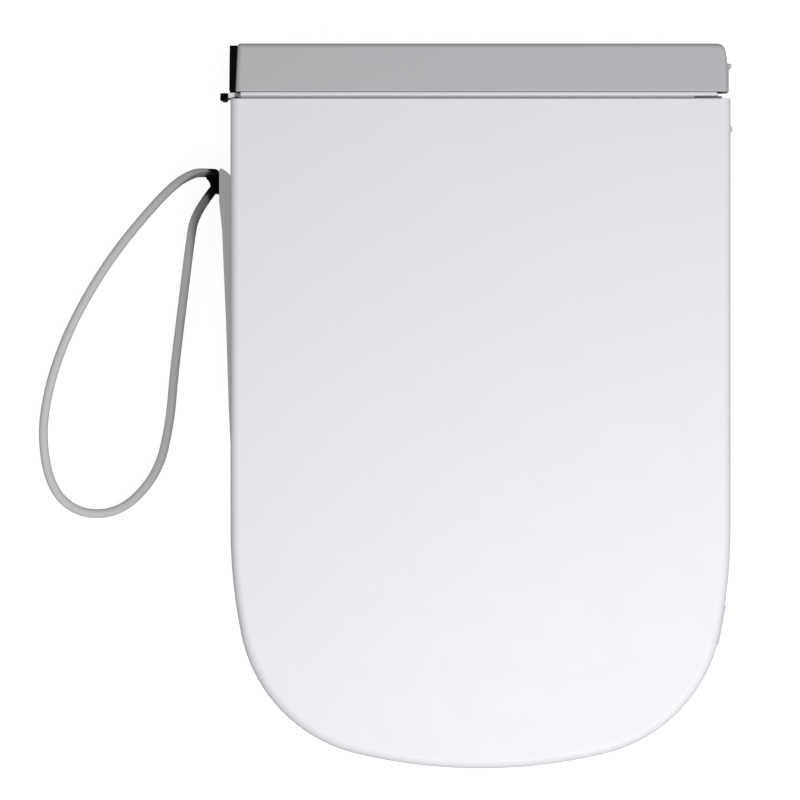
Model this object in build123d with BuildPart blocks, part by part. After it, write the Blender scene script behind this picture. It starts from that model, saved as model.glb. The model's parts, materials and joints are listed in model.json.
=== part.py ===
from build123d import *
import math
import os

# Handheld label maker with a hinged lid, lying on its back.
# Frame: +X to the label outlet side, +Y to the lid, +Z out of the front face.
# The back face is Z = 0. The origin is on the back face, on the centreline and
# half way along the device. Millimetres.

os.makedirs("parts", exist_ok=True)

# ---------------------------------------------------------------- dimensions
HALF_W = 38.5            # half width of the body
DEPTH = 38.0             # back face to front face
Y_BOT = -55.8            # lowest point of the rounded bottom
Y_SEAM = 47.35           # top edge of the body shells
Y_LID = 48.4             # lower edge of the lid
Y_TOP = 55.8             # top of the lid
R_BOTTOM = 81.28         # bottom outline arc, about the centreline
R_SIDE = 81.85           # outline arc between corner and straight side
T_BOTTOM = 13.655        # where the bottom arc ends, degrees from straight down
T_CORNER = 78.343        # where the corner arc ends
WALL = 1.6               # shell wall
EDGE_R = 1.25            # rounding between the faces and the sides
Z_PART = 19.0            # parting plane of the two shells
TONGUE = 0.9             # distance of the tongue from the outside
TONGUE_H = 1.2
CASE_SCREWS = [(-31.5, 0.5), (31.5, 0.5), (-21.0, -45.5), (21.0, -45.5)]
CHASSIS_SCREWS = [(-28.5, 6.5, 14.0), (1.5, 6.5, 14.0), (14.0, 28.0, 10.0)]
BOARD_SCREWS = [(-28.5, -9.0), (28.5, -9.0), (-11.5, -46.5)]
Z_BOARD = 10.0           # underside of the circuit board
T_BOARD = 1.0

ROLL_X, ROLL_Y, ROLL_R = -13.5, 25.0, 18.0     # roll of labels
ROLL_Z0, ROLL_Z1 = 6.0, 31.0
TUB_R, TUB_T = 19.5, 1.2                       # label tub and its wall

HINGE_X, HINGE_Y = -39.5, 47.6                 # lid hinge axis
PIN_R, BARREL_R = 0.3, 0.62
LID_WALL = 1.15

PLATEN = (31.5, 51.1)    # platen axis
PLATEN_R = 3.1
MODULE = 0.4             # gear module
MOTOR = (24.5, 30.2)     # motor axis
IDLER = (29.6, 43.948)   # idler axis
Z_P1 = (32.5, 33.6)      # first gear plane
Z_P2 = (33.7, 34.9)      # second gear plane
STUD_R = 1.0
RUN = 0.04               # radial running clearance

HEAD_PIVOT = (25.2, 44.3)
LATCH_TRAVEL = 1.0
STRAP_T, STRAP_W = 1.4, 3.6   # strap ribbon: thickness and width

# ------------------------------------------------------------ outline of body
_s1, _c1 = math.sin(math.radians(T_BOTTOM)), math.cos(math.radians(T_BOTTOM))
_s2, _c2 = math.sin(math.radians(T_CORNER)), math.cos(math.radians(T_CORNER))
R_CORNER = (HALF_W - R_BOTTOM * _s1 - R_SIDE * (1 - _s2)) / (_s2 - _s1)
C_BOTTOM = (0.0, Y_BOT + R_BOTTOM)
C_CORNER = ((R_BOTTOM - R_CORNER) * _s1, C_BOTTOM[1] - (R_BOTTOM - R_CORNER) * _c1)
C_SIDE = (
    C_CORNER[0] - (R_SIDE - R_CORNER) * _s2,
    C_CORNER[1] + (R_SIDE - R_CORNER) * _c2,
)


def on_arc(centre, radius, t_deg):
    """Point at angle t from straight down, on the right half of the outline."""
    t = math.radians(t_deg)
    return (centre[0] + radius * math.sin(t), centre[1] - radius * math.cos(t))


def body_outline(inset, top):
    """Face inside the body outline, inset by a distance, open to a top line."""
    rb, rc, rs = R_BOTTOM - inset, R_CORNER - inset, R_SIDE - inset
    p1 = on_arc(C_BOTTOM, rb, T_BOTTOM)
    p2 = on_arc(C_CORNER, rc, T_CORNER)
    p3 = on_arc(C_SIDE, rs, 90)
    m12 = on_arc(C_CORNER, rc, (T_BOTTOM + T_CORNER) / 2)
    m23 = on_arc(C_SIDE, rs, (T_CORNER + 90) / 2)

    def flip(p):
        return (-p[0], p[1])

    with BuildSketch() as sk:
        with BuildLine():
            ThreePointArc(flip(p1), (0, Y_BOT + inset), p1)
            ThreePointArc(p1, m12, p2)
            ThreePointArc(p2, m23, p3)
            Line(p3, (p3[0], top))
            Line((p3[0], top), (-p3[0], top))
            Line((-p3[0], top), flip(p3))
            ThreePointArc(flip(p3), flip(m23), flip(p2))
            ThreePointArc(flip(p2), flip(m12), flip(p1))
        make_face()
    return sk.sketch


def below(edges, y):
    """Edges whose centre lies below a given y."""
    return edges.filter_by(lambda e: e.center().Y < y)


def cross_screw(head_r, head_h, shank_r, length):
    """Screw with a cross recess: seat at z = 0, head above, shank below."""
    with BuildPart() as screw:
        with BuildSketch():
            Circle(head_r)
        extrude(amount=head_h)
        fillet(screw.edges().sort_by(Axis.Z)[-1], head_h * 0.35)
        with BuildSketch(Plane.XY.offset(head_h * 0.35)):
            Rectangle(head_r * 1.15, head_r * 0.26)
            Rectangle(head_r * 0.26, head_r * 1.15)
        extrude(amount=head_h, mode=Mode.SUBTRACT)
        with BuildSketch():
            Circle(shank_r)
        extrude(amount=-length)
        chamfer(screw.edges().sort_by(Axis.Z)[0], shank_r * 0.3)
    return screw.part


def involute(alpha):
    return math.tan(alpha) - alpha


def gear_face(teeth, phase, bore):
    """Spur gear section, a tooth centred on the phase angle in radians."""
    r = MODULE * teeth / 2
    ra, rf = r + 0.72 * MODULE, r - 1.1 * MODULE
    rb = r * math.cos(math.radians(20))
    inv20 = involute(math.radians(20))

    def half(rho):
        a = involute(math.acos(min(1.0, rb / rho))) if rho > rb else 0.0
        return 0.43 * math.pi / teeth + inv20 - a

    radii = [rf] + ([rb] if rb > rf else []) + [(max(rb, rf) + r) / 2, r, (r + ra) / 2, ra]
    points = []
    for k in range(teeth):
        a0 = phase + 2 * math.pi * k / teeth
        for rho in radii:
            a = a0 - half(max(rho, rb))
            points.append((rho * math.cos(a), rho * math.sin(a)))
        for rho in reversed(radii):
            a = a0 + half(max(rho, rb))
            points.append((rho * math.cos(a), rho * math.sin(a)))
    with BuildSketch() as sk:
        with BuildLine():
            Polyline(*points, close=True)
        make_face()
        Circle(bore, mode=Mode.SUBTRACT)
    return sk.sketch


def circle_cross(a, ra, b, rb, side):
    """Point at distance ra from a and rb from b, on the given side of a to b."""
    dx, dy = b[0] - a[0], b[1] - a[1]
    d = math.hypot(dx, dy)
    h = (ra * ra - rb * rb + d * d) / (2 * d)
    k = math.sqrt(ra * ra - h * h) * side
    return (a[0] + (h * dx - k * dy) / d, a[1] + (h * dy + k * dx) / d)


def coil(wire_r, mean_r, height, turns):
    """Compression spring with closed flat ends, along +Z from the origin."""
    pitch = (height - 2 * wire_r) / turns
    with BuildPart() as spring:
        with BuildLine() as path:
            Helix(pitch=pitch, height=height - 2 * wire_r, radius=mean_r)
        with BuildSketch(Plane(origin=path.line @ 0, z_dir=path.line % 0)):
            Circle(wire_r)
        sweep(path=path.line, is_frenet=True)
    return Pos(0, 0, wire_r) * spring.part


# ================================================================ rear shell
# Tray of the casing: back face, side walls, tongue at the parting plane,
# screw columns, board posts, wrist strap lug and the charging port opening.
PB_T = math.degrees(math.acos((C_SIDE[1] + 33.8) / R_SIDE))      # power button
PB_POINT = on_arc(C_SIDE, R_SIDE, PB_T)
PB_PLANE = Plane(
    origin=(PB_POINT[0], PB_POINT[1], 12.5),
    x_dir=(0, 0, 1),
    z_dir=(math.sin(math.radians(PB_T)), -math.cos(math.radians(PB_T)), 0),
)

# lug beside the strap, a rounded rib that fades into the side wall
with BuildPart() as strap_lug:
    with BuildSketch(Plane.XY.offset(2.0)):
        with BuildLine():
            Polyline(
                (-37.6, 34.6), (-38.45, 35.1), (-38.78, 35.85), (-39.3, 36.32), (-39.87, 36.68),
                (-40.15, 36.82), (-40.4, 36.6), (-40.4, 31.6), (-39.95, 27.1), (-39.35, 13.2),
                (-38.9, -0.6), (-38.5, -9.0), (-37.6, -9.0), close=True,
            )
        make_face()
    extrude(amount=6.6)
    outer = strap_lug.edges().filter_by(lambda e: abs(e.center().Z - 8.6) < 0.01 and e.center().X < -38.6 and e.length > 2)
    chamfer(outer, 0.45)

with BuildPart() as rear_shell:
    with BuildSketch():
        add(body_outline(0, Y_SEAM))
    extrude(amount=Z_PART)
    fillet(below(rear_shell.faces().sort_by(Axis.Z)[0].edges(), Y_SEAM - 0.1), EDGE_R)
    chamfer(below(rear_shell.faces().sort_by(Axis.Z)[-1].edges(), Y_SEAM - 0.1), 0.18)
    add(strap_lug.part)
    with BuildSketch(Plane.XY.offset(WALL)):
        add(body_outline(WALL, Y_SEAM + 8))
    extrude(amount=Z_PART, mode=Mode.SUBTRACT)
    with BuildSketch(Plane.XY.offset(Z_PART)):
        add(body_outline(TONGUE, 40))
        add(body_outline(WALL, 60), mode=Mode.SUBTRACT)
    extrude(amount=TONGUE_H)
    # screw columns
    with BuildSketch(Plane.XY.offset(WALL)):
        with Locations(*CASE_SCREWS):
            Circle(3.0)
    extrude(amount=17.0 - WALL)
    with BuildSketch():
        with Locations(*CASE_SCREWS):
            Circle(2.1)
    extrude(amount=12.0, mode=Mode.SUBTRACT)
    with BuildSketch():
        with Locations(*CASE_SCREWS):
            Circle(1.15)
    extrude(amount=18.0, mode=Mode.SUBTRACT)
    # posts for the chassis and the board
    with BuildSketch(Plane.XY.offset(WALL)):
        with Locations(*[(x, y) for x, y, z in CHASSIS_SCREWS[:2]]):
            Circle(2.5)
    extrude(amount=12.0 - WALL)
    with BuildSketch(Plane.XY.offset(WALL)):
        with Locations((CHASSIS_SCREWS[2][0], CHASSIS_SCREWS[2][1])):
            Circle(2.5)
    extrude(amount=8.0 - WALL)
    with BuildSketch(Plane.XY.offset(WALL)):
        with Locations(*BOARD_SCREWS):
            Circle(2.1)
    extrude(amount=Z_BOARD - WALL)
    with BuildSketch(Plane.XY.offset(3.0)):
        with Locations(*[(x, y) for x, y, z in CHASSIS_SCREWS]):
            Circle(0.8)
        with Locations(*BOARD_SCREWS):
            Circle(0.75)
    extrude(amount=12.0, mode=Mode.SUBTRACT)
    # notch for the release button, in the side wall at the top
    with BuildSketch(Plane.XY.offset(9.0)):
        with Locations((38.0, 46.1)):
            Rectangle(4.0, 7.8)
    extrude(amount=12.0, mode=Mode.SUBTRACT)
    # charging port
    with BuildSketch(Plane.XZ.offset(50.0)):
        with Locations((0, 12.58)):
            RectangleRounded(9.3, 3.5, 1.7)
    extrude(amount=8.0, mode=Mode.SUBTRACT)
    # power button opening
    with BuildSketch(PB_PLANE.offset(1.0)):
        RectangleRounded(9.0, 6.6, 1.0)
    extrude(amount=-4.0, mode=Mode.SUBTRACT)
    # strap pocket and its pin hole
    with BuildSketch(Plane.XY.offset(3.4)):
        with Locations((-39.3, 33.85)):
            Rectangle(3.4, 3.3)
    extrude(amount=3.8, mode=Mode.SUBTRACT)
    with BuildSketch(Plane.XY.offset(2.0)):
        with Locations((-39.1, 33.9)):
            Circle(0.6)
    extrude(amount=6.2, mode=Mode.SUBTRACT)
rear_shell.part.label = "rear_shell"
export_step(rear_shell.part, "parts/rear_shell.step")

# =============================================================== front shell
with BuildPart() as front_shell:
    with BuildSketch(Plane.XY.offset(Z_PART)):
        add(body_outline(0, Y_SEAM))
    extrude(amount=DEPTH - Z_PART)
    fillet(below(front_shell.faces().sort_by(Axis.Z)[-1].edges(), Y_SEAM - 0.1), EDGE_R)
    chamfer(below(front_shell.faces().sort_by(Axis.Z)[0].edges(), Y_SEAM - 0.1), 0.18)
    with BuildSketch(Plane.XY.offset(Z_PART)):
        add(body_outline(WALL, Y_SEAM + 8))
    extrude(amount=DEPTH - WALL - Z_PART, mode=Mode.SUBTRACT)
    # rebate over the tongue of the rear shell
    with BuildSketch(Plane.XY.offset(Z_PART)):
        add(body_outline(TONGUE - 0.1, 40.1))
    extrude(amount=TONGUE_H + 0.1, mode=Mode.SUBTRACT)
    # screw columns that meet those of the rear shell
    with BuildSketch(Plane.XY.offset(17.1)):
        with Locations(*CASE_SCREWS):
            Circle(2.5)
    extrude(amount=DEPTH - WALL - 17.1)
    with BuildSketch(Plane.XY.offset(17.1)):
        with Locations(*CASE_SCREWS):
            Circle(0.95)
    extrude(amount=8.0, mode=Mode.SUBTRACT)
    with BuildSketch(Plane.XY.offset(17.0)):
        with Locations((38.0, 46.1)):
            Rectangle(4.0, 7.8)
    extrude(amount=12.0, mode=Mode.SUBTRACT)
front_shell.part.label = "front_shell"
export_step(front_shell.part, "parts/front_shell.step")

# ============================================================= casing screws
case_screw = cross_screw(1.9, 1.6, 0.95, 10.0)
with BuildPart() as casing_screws:
    with Locations(*[Plane(origin=(x, y, 12.0), x_dir=(1, 0, 0), z_dir=(0, 0, -1)).location for x, y in CASE_SCREWS]):
        add(case_screw)
casing_screws.part.label = "casing_screws"
export_step(casing_screws.part, "parts/casing_screws.step")

# =================================================================== chassis
# Inner frame: label tub, deck, neck that shows in the seam, hinge arms.
NECK_Z0, NECK_Z1 = 1.9, 36.1
with BuildPart() as chassis:
    # neck: rear and front walls, left wall, thin strip at the outlet
    with BuildSketch(Plane.XZ.offset(-40.0)):
        with Locations((0, 19.0)):
            Rectangle(73.2, 34.2)
            Rectangle(71.2, 32.2, mode=Mode.SUBTRACT)
    extrude(amount=-7.35)
    # upper lip of the neck inside the lid, front and rear only
    with BuildSketch(Plane.XZ.offset(-Y_SEAM)):
        with Locations((0.6, 2.4), (0.6, 35.6)):
            Rectangle(69.2, 1.0)
    extrude(amount=-(50.0 - Y_SEAM))
    # sill that fills the seam between body and lid
    with BuildSketch(Plane.XZ.offset(-Y_SEAM)):
        with Locations((-0.35, 19.0)):
            Rectangle(73.9, 34.2)
            Rectangle(71.5, 32.2, mode=Mode.SUBTRACT)
        with Locations((36.2, 19.0)):
            Rectangle(2.0, 32.2, mode=Mode.SUBTRACT)
    extrude(amount=-0.6)
    # bead of the neck that stands up in the seam, front and rear
    for z0 in (0.15, 35.6):
        with BuildSketch(Plane.XY.offset(z0)):
            with BuildLine():
                Polyline((-36.95, 47.78), (36.6, 47.78), (36.35, 48.33), (-36.95, 48.33), close=True)
            make_face()
        extrude(amount=2.25)
    # step in the seam below the front bead
    with BuildSketch(Plane.XY.offset(35.6)):
        with Locations((-1.975, 47.62)):
            Rectangle(69.95, 0.4)
    extrude(amount=1.6)
    # deck
    with BuildSketch(Plane.XZ.offset(-46.0)):
        with Locations((0, 19.0)):
            Rectangle(73.0, 34.0)
    extrude(amount=-1.2)
    # label tub: round bottomed pocket, open at the deck
    with BuildSketch(Plane.XY.offset(4.3)):
        with BuildLine():
            ThreePointArc(
                (ROLL_X - TUB_R - TUB_T, ROLL_Y),
                (ROLL_X, ROLL_Y - TUB_R - TUB_T),
                (ROLL_X + TUB_R + TUB_T, ROLL_Y),
            )
            Polyline(
                (ROLL_X + TUB_R + TUB_T, ROLL_Y), (ROLL_X + TUB_R + TUB_T, 46.2),
                (ROLL_X - TUB_R - TUB_T, 46.2), (ROLL_X - TUB_R - TUB_T, ROLL_Y),
            )
        make_face()
    extrude(amount=28.4)
    with BuildSketch(Plane.XY.offset(5.5)):
        with BuildLine():
            ThreePointArc(
                (ROLL_X - TUB_R, ROLL_Y), (ROLL_X, ROLL_Y - TUB_R), (ROLL_X + TUB_R, ROLL_Y)
            )
            Polyline(
                (ROLL_X + TUB_R, ROLL_Y), (ROLL_X + TUB_R, 47.5),
                (ROLL_X - TUB_R, 47.5), (ROLL_X - TUB_R, ROLL_Y),
            )
        make_face()
    extrude(amount=26.0, mode=Mode.SUBTRACT)
    # rib that carries the printing mechanism
    with BuildSketch(Plane.XY.offset(3.0)):
        with Locations((18.3, 42.6)):
            Rectangle(1.8, 7.0)
    extrude(amount=32.0)
    # opening in the deck over the printing mechanism
    with BuildSketch(Plane.XY.offset(2.9)):
        with Locations((29.25, 46.6)):
            Rectangle(13.5, 1.5)
    extrude(amount=32.2, mode=Mode.SUBTRACT)
    # right wall of the neck is left out below the outlet strip
    with BuildSketch(Plane.XY.offset(2.9)):
        with Locations((36.0, 42.5)):
            Rectangle(3.0, 5.6)
    extrude(amount=32.2, mode=Mode.SUBTRACT)
    # the strip itself is set in from the release button
    with BuildSketch(Plane.XY.offset(2.9)):
        with Locations((36.75, 46.3)):
            Rectangle(1.0, 2.4)
    extrude(amount=32.2, mode=Mode.SUBTRACT)
    with BuildSketch(Plane.XY.offset(2.9)):
        with Locations((35.975, 46.325)):
            Rectangle(0.55, 2.05)
    extrude(amount=32.2)
    # window in the front wall over the gear studs
    with BuildSketch(Plane.XY.offset(35.0)):
        with Locations((27.5, 43.0)):
            Rectangle(15.0, 6.02)
    extrude(amount=2.0, mode=Mode.SUBTRACT)
    # guides under the latch bar
    with BuildSketch(Plane.XY.offset(2.5)):
        with Locations((35.2, 39.9)):
            Rectangle(2.6, 0.8)
    extrude(amount=4.0)
    with BuildSketch(Plane.XY.offset(1.9)):
        with Locations((35.2, 40.5)):
            Rectangle(2.6, 2.0)
    extrude(amount=1.0)
    with BuildSketch(Plane.XY.offset(30.5)):
        with Locations((35.4, 39.9)):
            Rectangle(2.2, 0.8)
    extrude(amount=5.6)
    with BuildSketch(Plane.XY.offset(35.1)):
        with Locations((35.4, 40.5)):
            Rectangle(2.2, 2.0)
    extrude(amount=1.0)
    # ear of the neck beside the front end of the hinge, and its web
    with BuildSketch(Plane.XY.offset(35.1)):
        with Locations((-38.35, 47.86)):
            Rectangle(1.0, 0.78)
    extrude(amount=2.2)
    with BuildSketch(Plane.XY.offset(35.1)):
        with Locations((-37.55, 47.86)):
            Rectangle(1.3, 0.6)
    extrude(amount=1.1)
    with BuildSketch(Plane.XY.offset(34.6)):
        with Locations((-37.2, 47.86)):
            Rectangle(0.6, 0.6)
    extrude(amount=1.6)
    # hinge arms and body knuckles
    with BuildSketch(Plane.XY.offset(8.0)):
        with Locations((-38.25, 47.775)):
            Rectangle(2.5, 0.85)
        with Locations((HINGE_X, HINGE_Y)):
            Circle(BARREL_R)
    extrude(amount=4.0)
    with BuildSketch(Plane.XY.offset(26.0)):
        with Locations((-38.25, 47.775)):
            Rectangle(2.5, 0.85)
        with Locations((HINGE_X, HINGE_Y)):
            Circle(BARREL_R)
    extrude(amount=4.0)
    with BuildSketch(Plane.XY.offset(3.0)):
        with Locations((HINGE_X, HINGE_Y)):
            Circle(PIN_R)
    extrude(amount=32.0, mode=Mode.SUBTRACT)
    # screw tabs
    for tx, ty, tz in CHASSIS_SCREWS[:2]:
        with BuildSketch(Plane.XY.offset(tz - 2.0)):
            with Locations((tx, ty)):
                Circle(3.0)
            with Locations((tx * 0.5 + ROLL_X * 0.5 + (2.2 if tx < ROLL_X else -2.2) * -1, ty + 2.6)):
                Rectangle(11.0, 4.6)
        extrude(amount=2.0)
    with BuildSketch(Plane.XY.offset(8.0)):
        with Locations((14.0, 28.0)):
            Circle(3.0)
        with Locations((10.4, 28.0)):
            Rectangle(7.2, 6.0)
    extrude(amount=2.0)
    with BuildSketch(Plane.XY.offset(6.0)):
        with Locations(*[(x, y) for x, y, z in CHASSIS_SCREWS]):
            Circle(1.1)
    extrude(amount=10.0, mode=Mode.SUBTRACT)
    # the tub stays clear where the tabs join it
    with BuildSketch(Plane.XY.offset(5.5)):
        with BuildLine():
            ThreePointArc(
                (ROLL_X - TUB_R, ROLL_Y), (ROLL_X, ROLL_Y - TUB_R), (ROLL_X + TUB_R, ROLL_Y)
            )
            Line((ROLL_X + TUB_R, ROLL_Y), (ROLL_X - TUB_R, ROLL_Y))
        make_face()
    extrude(amount=26.0, mode=Mode.SUBTRACT)
    # seat for the gap sensor
    with BuildSketch(Plane.XZ.offset(-44.5)):
        with Locations((13.0, 17.5)):
            Rectangle(4.0, 5.0)
    extrude(amount=-4.0, mode=Mode.SUBTRACT)
    # screw holes in the mechanism rib
    with BuildSketch(Plane.YZ.offset(17.0)):
        with Locations((42.5, 10.0), (42.5, 26.0)):
            Circle(0.8)
    extrude(amount=3.0, mode=Mode.SUBTRACT)
chassis.part.label = "chassis"
export_step(chassis.part, "parts/chassis.step")

small_screw = cross_screw(1.6, 1.2, 0.8, 5.0)
with BuildPart() as chassis_screws:
    with Locations(*CHASSIS_SCREWS):
        add(small_screw)
chassis_screws.part.label = "chassis_screws"
export_step(chassis_screws.part, "parts/chassis_screws.step")

# ================================================================= lid shell
with BuildPart() as lid_shell:
    with BuildSketch():
        with BuildLine():
            Polyline(
                (-37.75, Y_LID), (38.0, Y_LID), (37.96, 53.1), (37.55, Y_TOP),
                (-37.4, Y_TOP), close=True,
            )
        make_face()
    extrude(amount=DEPTH)
    top_right = lid_shell.edges().filter_by(Axis.Z).sort_by(Axis.X)[-3:].sort_by(Axis.Y)[-1]
    fillet(top_right, 1.3)
    top_left = lid_shell.edges().filter_by(Axis.Z).sort_by(Axis.X)[:2].sort_by(Axis.Y)[-1]
    fillet(top_left, 0.5)
    rims = lid_shell.faces().sort_by(Axis.Z)[0].edges() + lid_shell.faces().sort_by(Axis.Z)[-1].edges()
    fillet(rims.filter_by(lambda e: e.center().X > -37.5 and e.center().Y > Y_LID + 0.1), 0.7)
    seam_rims = lid_shell.edges().filter_by(Axis.X).filter_by(lambda e: abs(e.center().Y - Y_LID) < 0.01)
    fillet(seam_rims, 0.25)
    # finger lip along the outlet side
    with BuildSketch(Plane.XY.offset(2.2)):
        with BuildLine():
            Polyline(
                (37.5, Y_LID), (38.25, Y_LID), (38.25, 52.0), (38.6, 52.1),
                (38.6, 52.7), (37.5, 52.8), close=True,
            )
        make_face()
    extrude(amount=DEPTH - 4.4)
    # hollow, open at the lower edge
    with BuildSketch(Plane.XY.offset(LID_WALL)):
        with BuildLine():
            Polyline(
                (-35.9, Y_LID - 1), (37.2, Y_LID - 1), (37.0, 53.6), (36.0, Y_TOP - LID_WALL),
                (-35.9, Y_TOP - LID_WALL), close=True,
            )
        make_face()
    extrude(amount=DEPTH - 2 * LID_WALL, mode=Mode.SUBTRACT)
    # catch ledges
    for z0, h in ((2.4, 2.4), (31.9, 2.2)):
        with BuildSketch(Plane.XY.offset(z0)):
            with BuildLine():
                Polyline((35.75, 48.9), (36.2, 48.6), (37.4, 48.6), (37.4, 49.5), (35.75, 49.5), close=True)
            make_face()
        extrude(amount=h)
    # columns for the liner screws
    with BuildSketch(Plane.XZ.offset(-53.8)):
        with Locations((-30, 7), (-30, 31), (20, 7), (20, 31)):
            Circle(2.2)
    extrude(amount=-1.0)
    with BuildSketch(Plane.XZ.offset(-53.7)):
        with Locations((-30, 7), (-30, 31), (20, 7), (20, 31)):
            Circle(0.75)
    extrude(amount=-1.5, mode=Mode.SUBTRACT)
    # pilot holes for the hinge leaf
    with BuildSketch(Plane.YZ.offset(-38.5)):
        with Locations((52.2, 6.0), (52.2, 19.0), (52.2, 32.0)):
            Circle(0.6)
    extrude(amount=2.4, mode=Mode.SUBTRACT)
lid_shell.part.label = "lid_shell"
export_step(lid_shell.part, "parts/lid_shell.step")

# ================================================================ hinge leaf
with BuildPart() as hinge_leaf:
    with BuildSketch(Plane.XY.offset(0.5)):
        with BuildLine():
            Polyline((-38.7, 48.5), (-37.753, 48.5), (-37.422, 55.5), (-38.62, 55.5), close=True)
        make_face()
    extrude(amount=37.0)
    fillet(hinge_leaf.edges().filter_by(Axis.Z).group_by(Axis.X)[0], 0.15)
    # square cap over the front end of the pin
    with BuildSketch(Plane.XY.offset(33.6)):
        with Locations((-39.52, 47.58)):
            RectangleRounded(1.14, 1.2, 0.12)
    extrude(amount=1.4)
    for z0, h in ((4.0, 3.8), (12.2, 13.6), (30.2, 3.8)):
        with BuildSketch(Plane.XY.offset(z0)):
            with Locations((HINGE_X, HINGE_Y)):
                Circle(BARREL_R)
            with BuildLine():
                Polyline(
                    (-39.5, 48.12), (-39.5, 47.5), (-38.3, 47.5), (-38.0, 47.8),
                    (-38.0, 49.0), (-38.6, 49.0), (-38.6, 48.3), (-38.85, 48.12), close=True,
                )
            make_face()
        extrude(amount=h)
    with BuildSketch(Plane.XY.offset(3.0)):
        with Locations((HINGE_X, HINGE_Y)):
            Circle(PIN_R + 0.05)
    extrude(amount=31.1, mode=Mode.SUBTRACT)
    # countersunk screw seats
    with BuildSketch(Plane.YZ.offset(-39.5)):
        with Locations((52.2, 6.0), (52.2, 19.0), (52.2, 32.0)):
            Circle(0.6)
    extrude(amount=3.0, mode=Mode.SUBTRACT)
    with BuildSketch(Plane.YZ.offset(-39.5)):
        with Locations((52.2, 6.0), (52.2, 19.0), (52.2, 32.0)):
            Circle(1.35)
    extrude(amount=1.5, mode=Mode.SUBTRACT)
hinge_leaf.part.label = "hinge_leaf"
export_step(hinge_leaf.part, "parts/hinge_leaf.step")

leaf_screw = cross_screw(1.25, 0.42, 0.6, 1.5)
with BuildPart() as leaf_screws:
    with Locations(*[Plane(origin=(-38.0, 52.2, z), x_dir=(0, 1, 0), z_dir=(-1, 0, 0)).location for z in (6.0, 19.0, 32.0)]):
        add(leaf_screw)
leaf_screws.part.label = "leaf_screws"
export_step(leaf_screws.part, "parts/leaf_screws.step")

with BuildPart() as hinge_pin:
    with BuildSketch(Plane.XY.offset(3.8)):
        with Locations((HINGE_X, HINGE_Y)):
            Circle(PIN_R)
    extrude(amount=30.1)
hinge_pin.part.label = "hinge_pin"
export_step(hinge_pin.part, "parts/hinge_pin.step")

# ================================================================= lid liner
with BuildPart() as lid_liner:
    with BuildSketch(Plane.XZ.offset(-52.6)):
        with Locations((0.6, 19.0)):
            Rectangle(70.8, 34.2)
        with Locations((31.3, 18.5)):
            Rectangle(8.2, 25.6, mode=Mode.SUBTRACT)
        with Locations((31.5, 34.35)):
            Rectangle(7.4, 1.9, mode=Mode.SUBTRACT)
    extrude(amount=-1.2)
    # ears that carry the platen
    for z0, h in ((4.4, 1.3), (31.3, 1.0)):
        with BuildSketch(Plane.XY.offset(z0)):
            with BuildLine():
                Polyline((28.6, 54.4), (28.6, 50.4), (29.9, 48.9), (33.1, 48.9), (33.9, 50.4), (33.9, 54.4), close=True)
            make_face()
        extrude(amount=h)
    with BuildSketch(Plane.XY.offset(3.0)):
        with Locations(PLATEN):
            Circle(1.9)
    extrude(amount=32.0, mode=Mode.SUBTRACT)
    with BuildSketch(Plane.XZ.offset(-52.0)):
        with Locations((-30, 7), (-30, 31), (20, 7), (20, 31)):
            Circle(1.0)
    extrude(amount=-3.0, mode=Mode.SUBTRACT)
    # stiffening ribs on the hidden side
    with BuildSketch(Plane.XZ.offset(-53.8)):
        with Locations((-5, 12), (-5, 26)):
            Rectangle(40, 1.0)
    extrude(amount=-0.7)
lid_liner.part.label = "lid_liner"
export_step(lid_liner.part, "parts/lid_liner.step")

liner_screw = cross_screw(1.6, 0.9, 0.75, 2.4)
with BuildPart() as lid_screws:
    with Locations(*[Plane(origin=(x, 52.6, z), x_dir=(1, 0, 0), z_dir=(0, -1, 0)).location for x, z in ((-30, 7), (-30, 31), (20, 7), (20, 31))]):
        add(liner_screw)
lid_screws.part.label = "lid_screws"
export_step(lid_screws.part, "parts/lid_screws.step")

# ==================================================================== platen
with BuildPart() as platen_roller:
    with BuildSketch(Plane.XY.offset(6.0)):
        with Locations(PLATEN):
            Circle(PLATEN_R)
            Circle(1.25, mode=Mode.SUBTRACT)
    extrude(amount=25.0)
platen_roller.part.label = "platen_roller"
export_step(platen_roller.part, "parts/platen_roller.step")

with BuildPart() as platen_shaft:
    with BuildSketch(Plane.XY.offset(4.4)):
        with Locations(PLATEN):
            Circle(1.25)
    extrude(amount=30.5)
    chamfer(platen_shaft.edges().sort_by(Axis.Z)[-1], 0.2)
    chamfer(platen_shaft.edges().sort_by(Axis.Z)[0], 0.2)
platen_shaft.part.label = "platen_shaft"
export_step(platen_shaft.part, "parts/platen_shaft.step")

with BuildPart() as platen_bushings:
    for z0, h in ((4.4, 1.3), (31.3, 1.0)):
        with BuildSketch(Plane.XY.offset(z0)):
            with Locations(PLATEN):
                Circle(1.9)
                Circle(1.25 + RUN, mode=Mode.SUBTRACT)
        extrude(amount=h)
platen_bushings.part.label = "platen_bushings"
export_step(platen_bushings.part, "parts/platen_bushings.step")

# ===================================================================== gears
COMPOUND = circle_cross(MOTOR, 7.6, IDLER, 7.2, -1)
if COMPOUND[0] < 26:
    COMPOUND = circle_cross(MOTOR, 7.6, IDLER, 7.2, 1)
dir_ma = math.atan2(COMPOUND[1] - MOTOR[1], COMPOUND[0] - MOTOR[0])
dir_ab = math.atan2(IDLER[1] - COMPOUND[1], IDLER[0] - COMPOUND[0])
dir_bp = math.atan2(PLATEN[1] - IDLER[1], PLATEN[0] - IDLER[0])
phase_motor = dir_ma
phase_a28 = dir_ma + math.pi + math.pi / 28
phase_a12 = dir_ab
phase_b = dir_ab + math.pi + math.pi / 24
step_b = 2 * math.pi / 24
eps = (phase_b - dir_bp) % step_b
phase_platen = dir_bp + math.pi - eps * 24 / 13 + math.pi / 13
print("compound gear axis", [round(v, 3) for v in COMPOUND])

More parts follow.
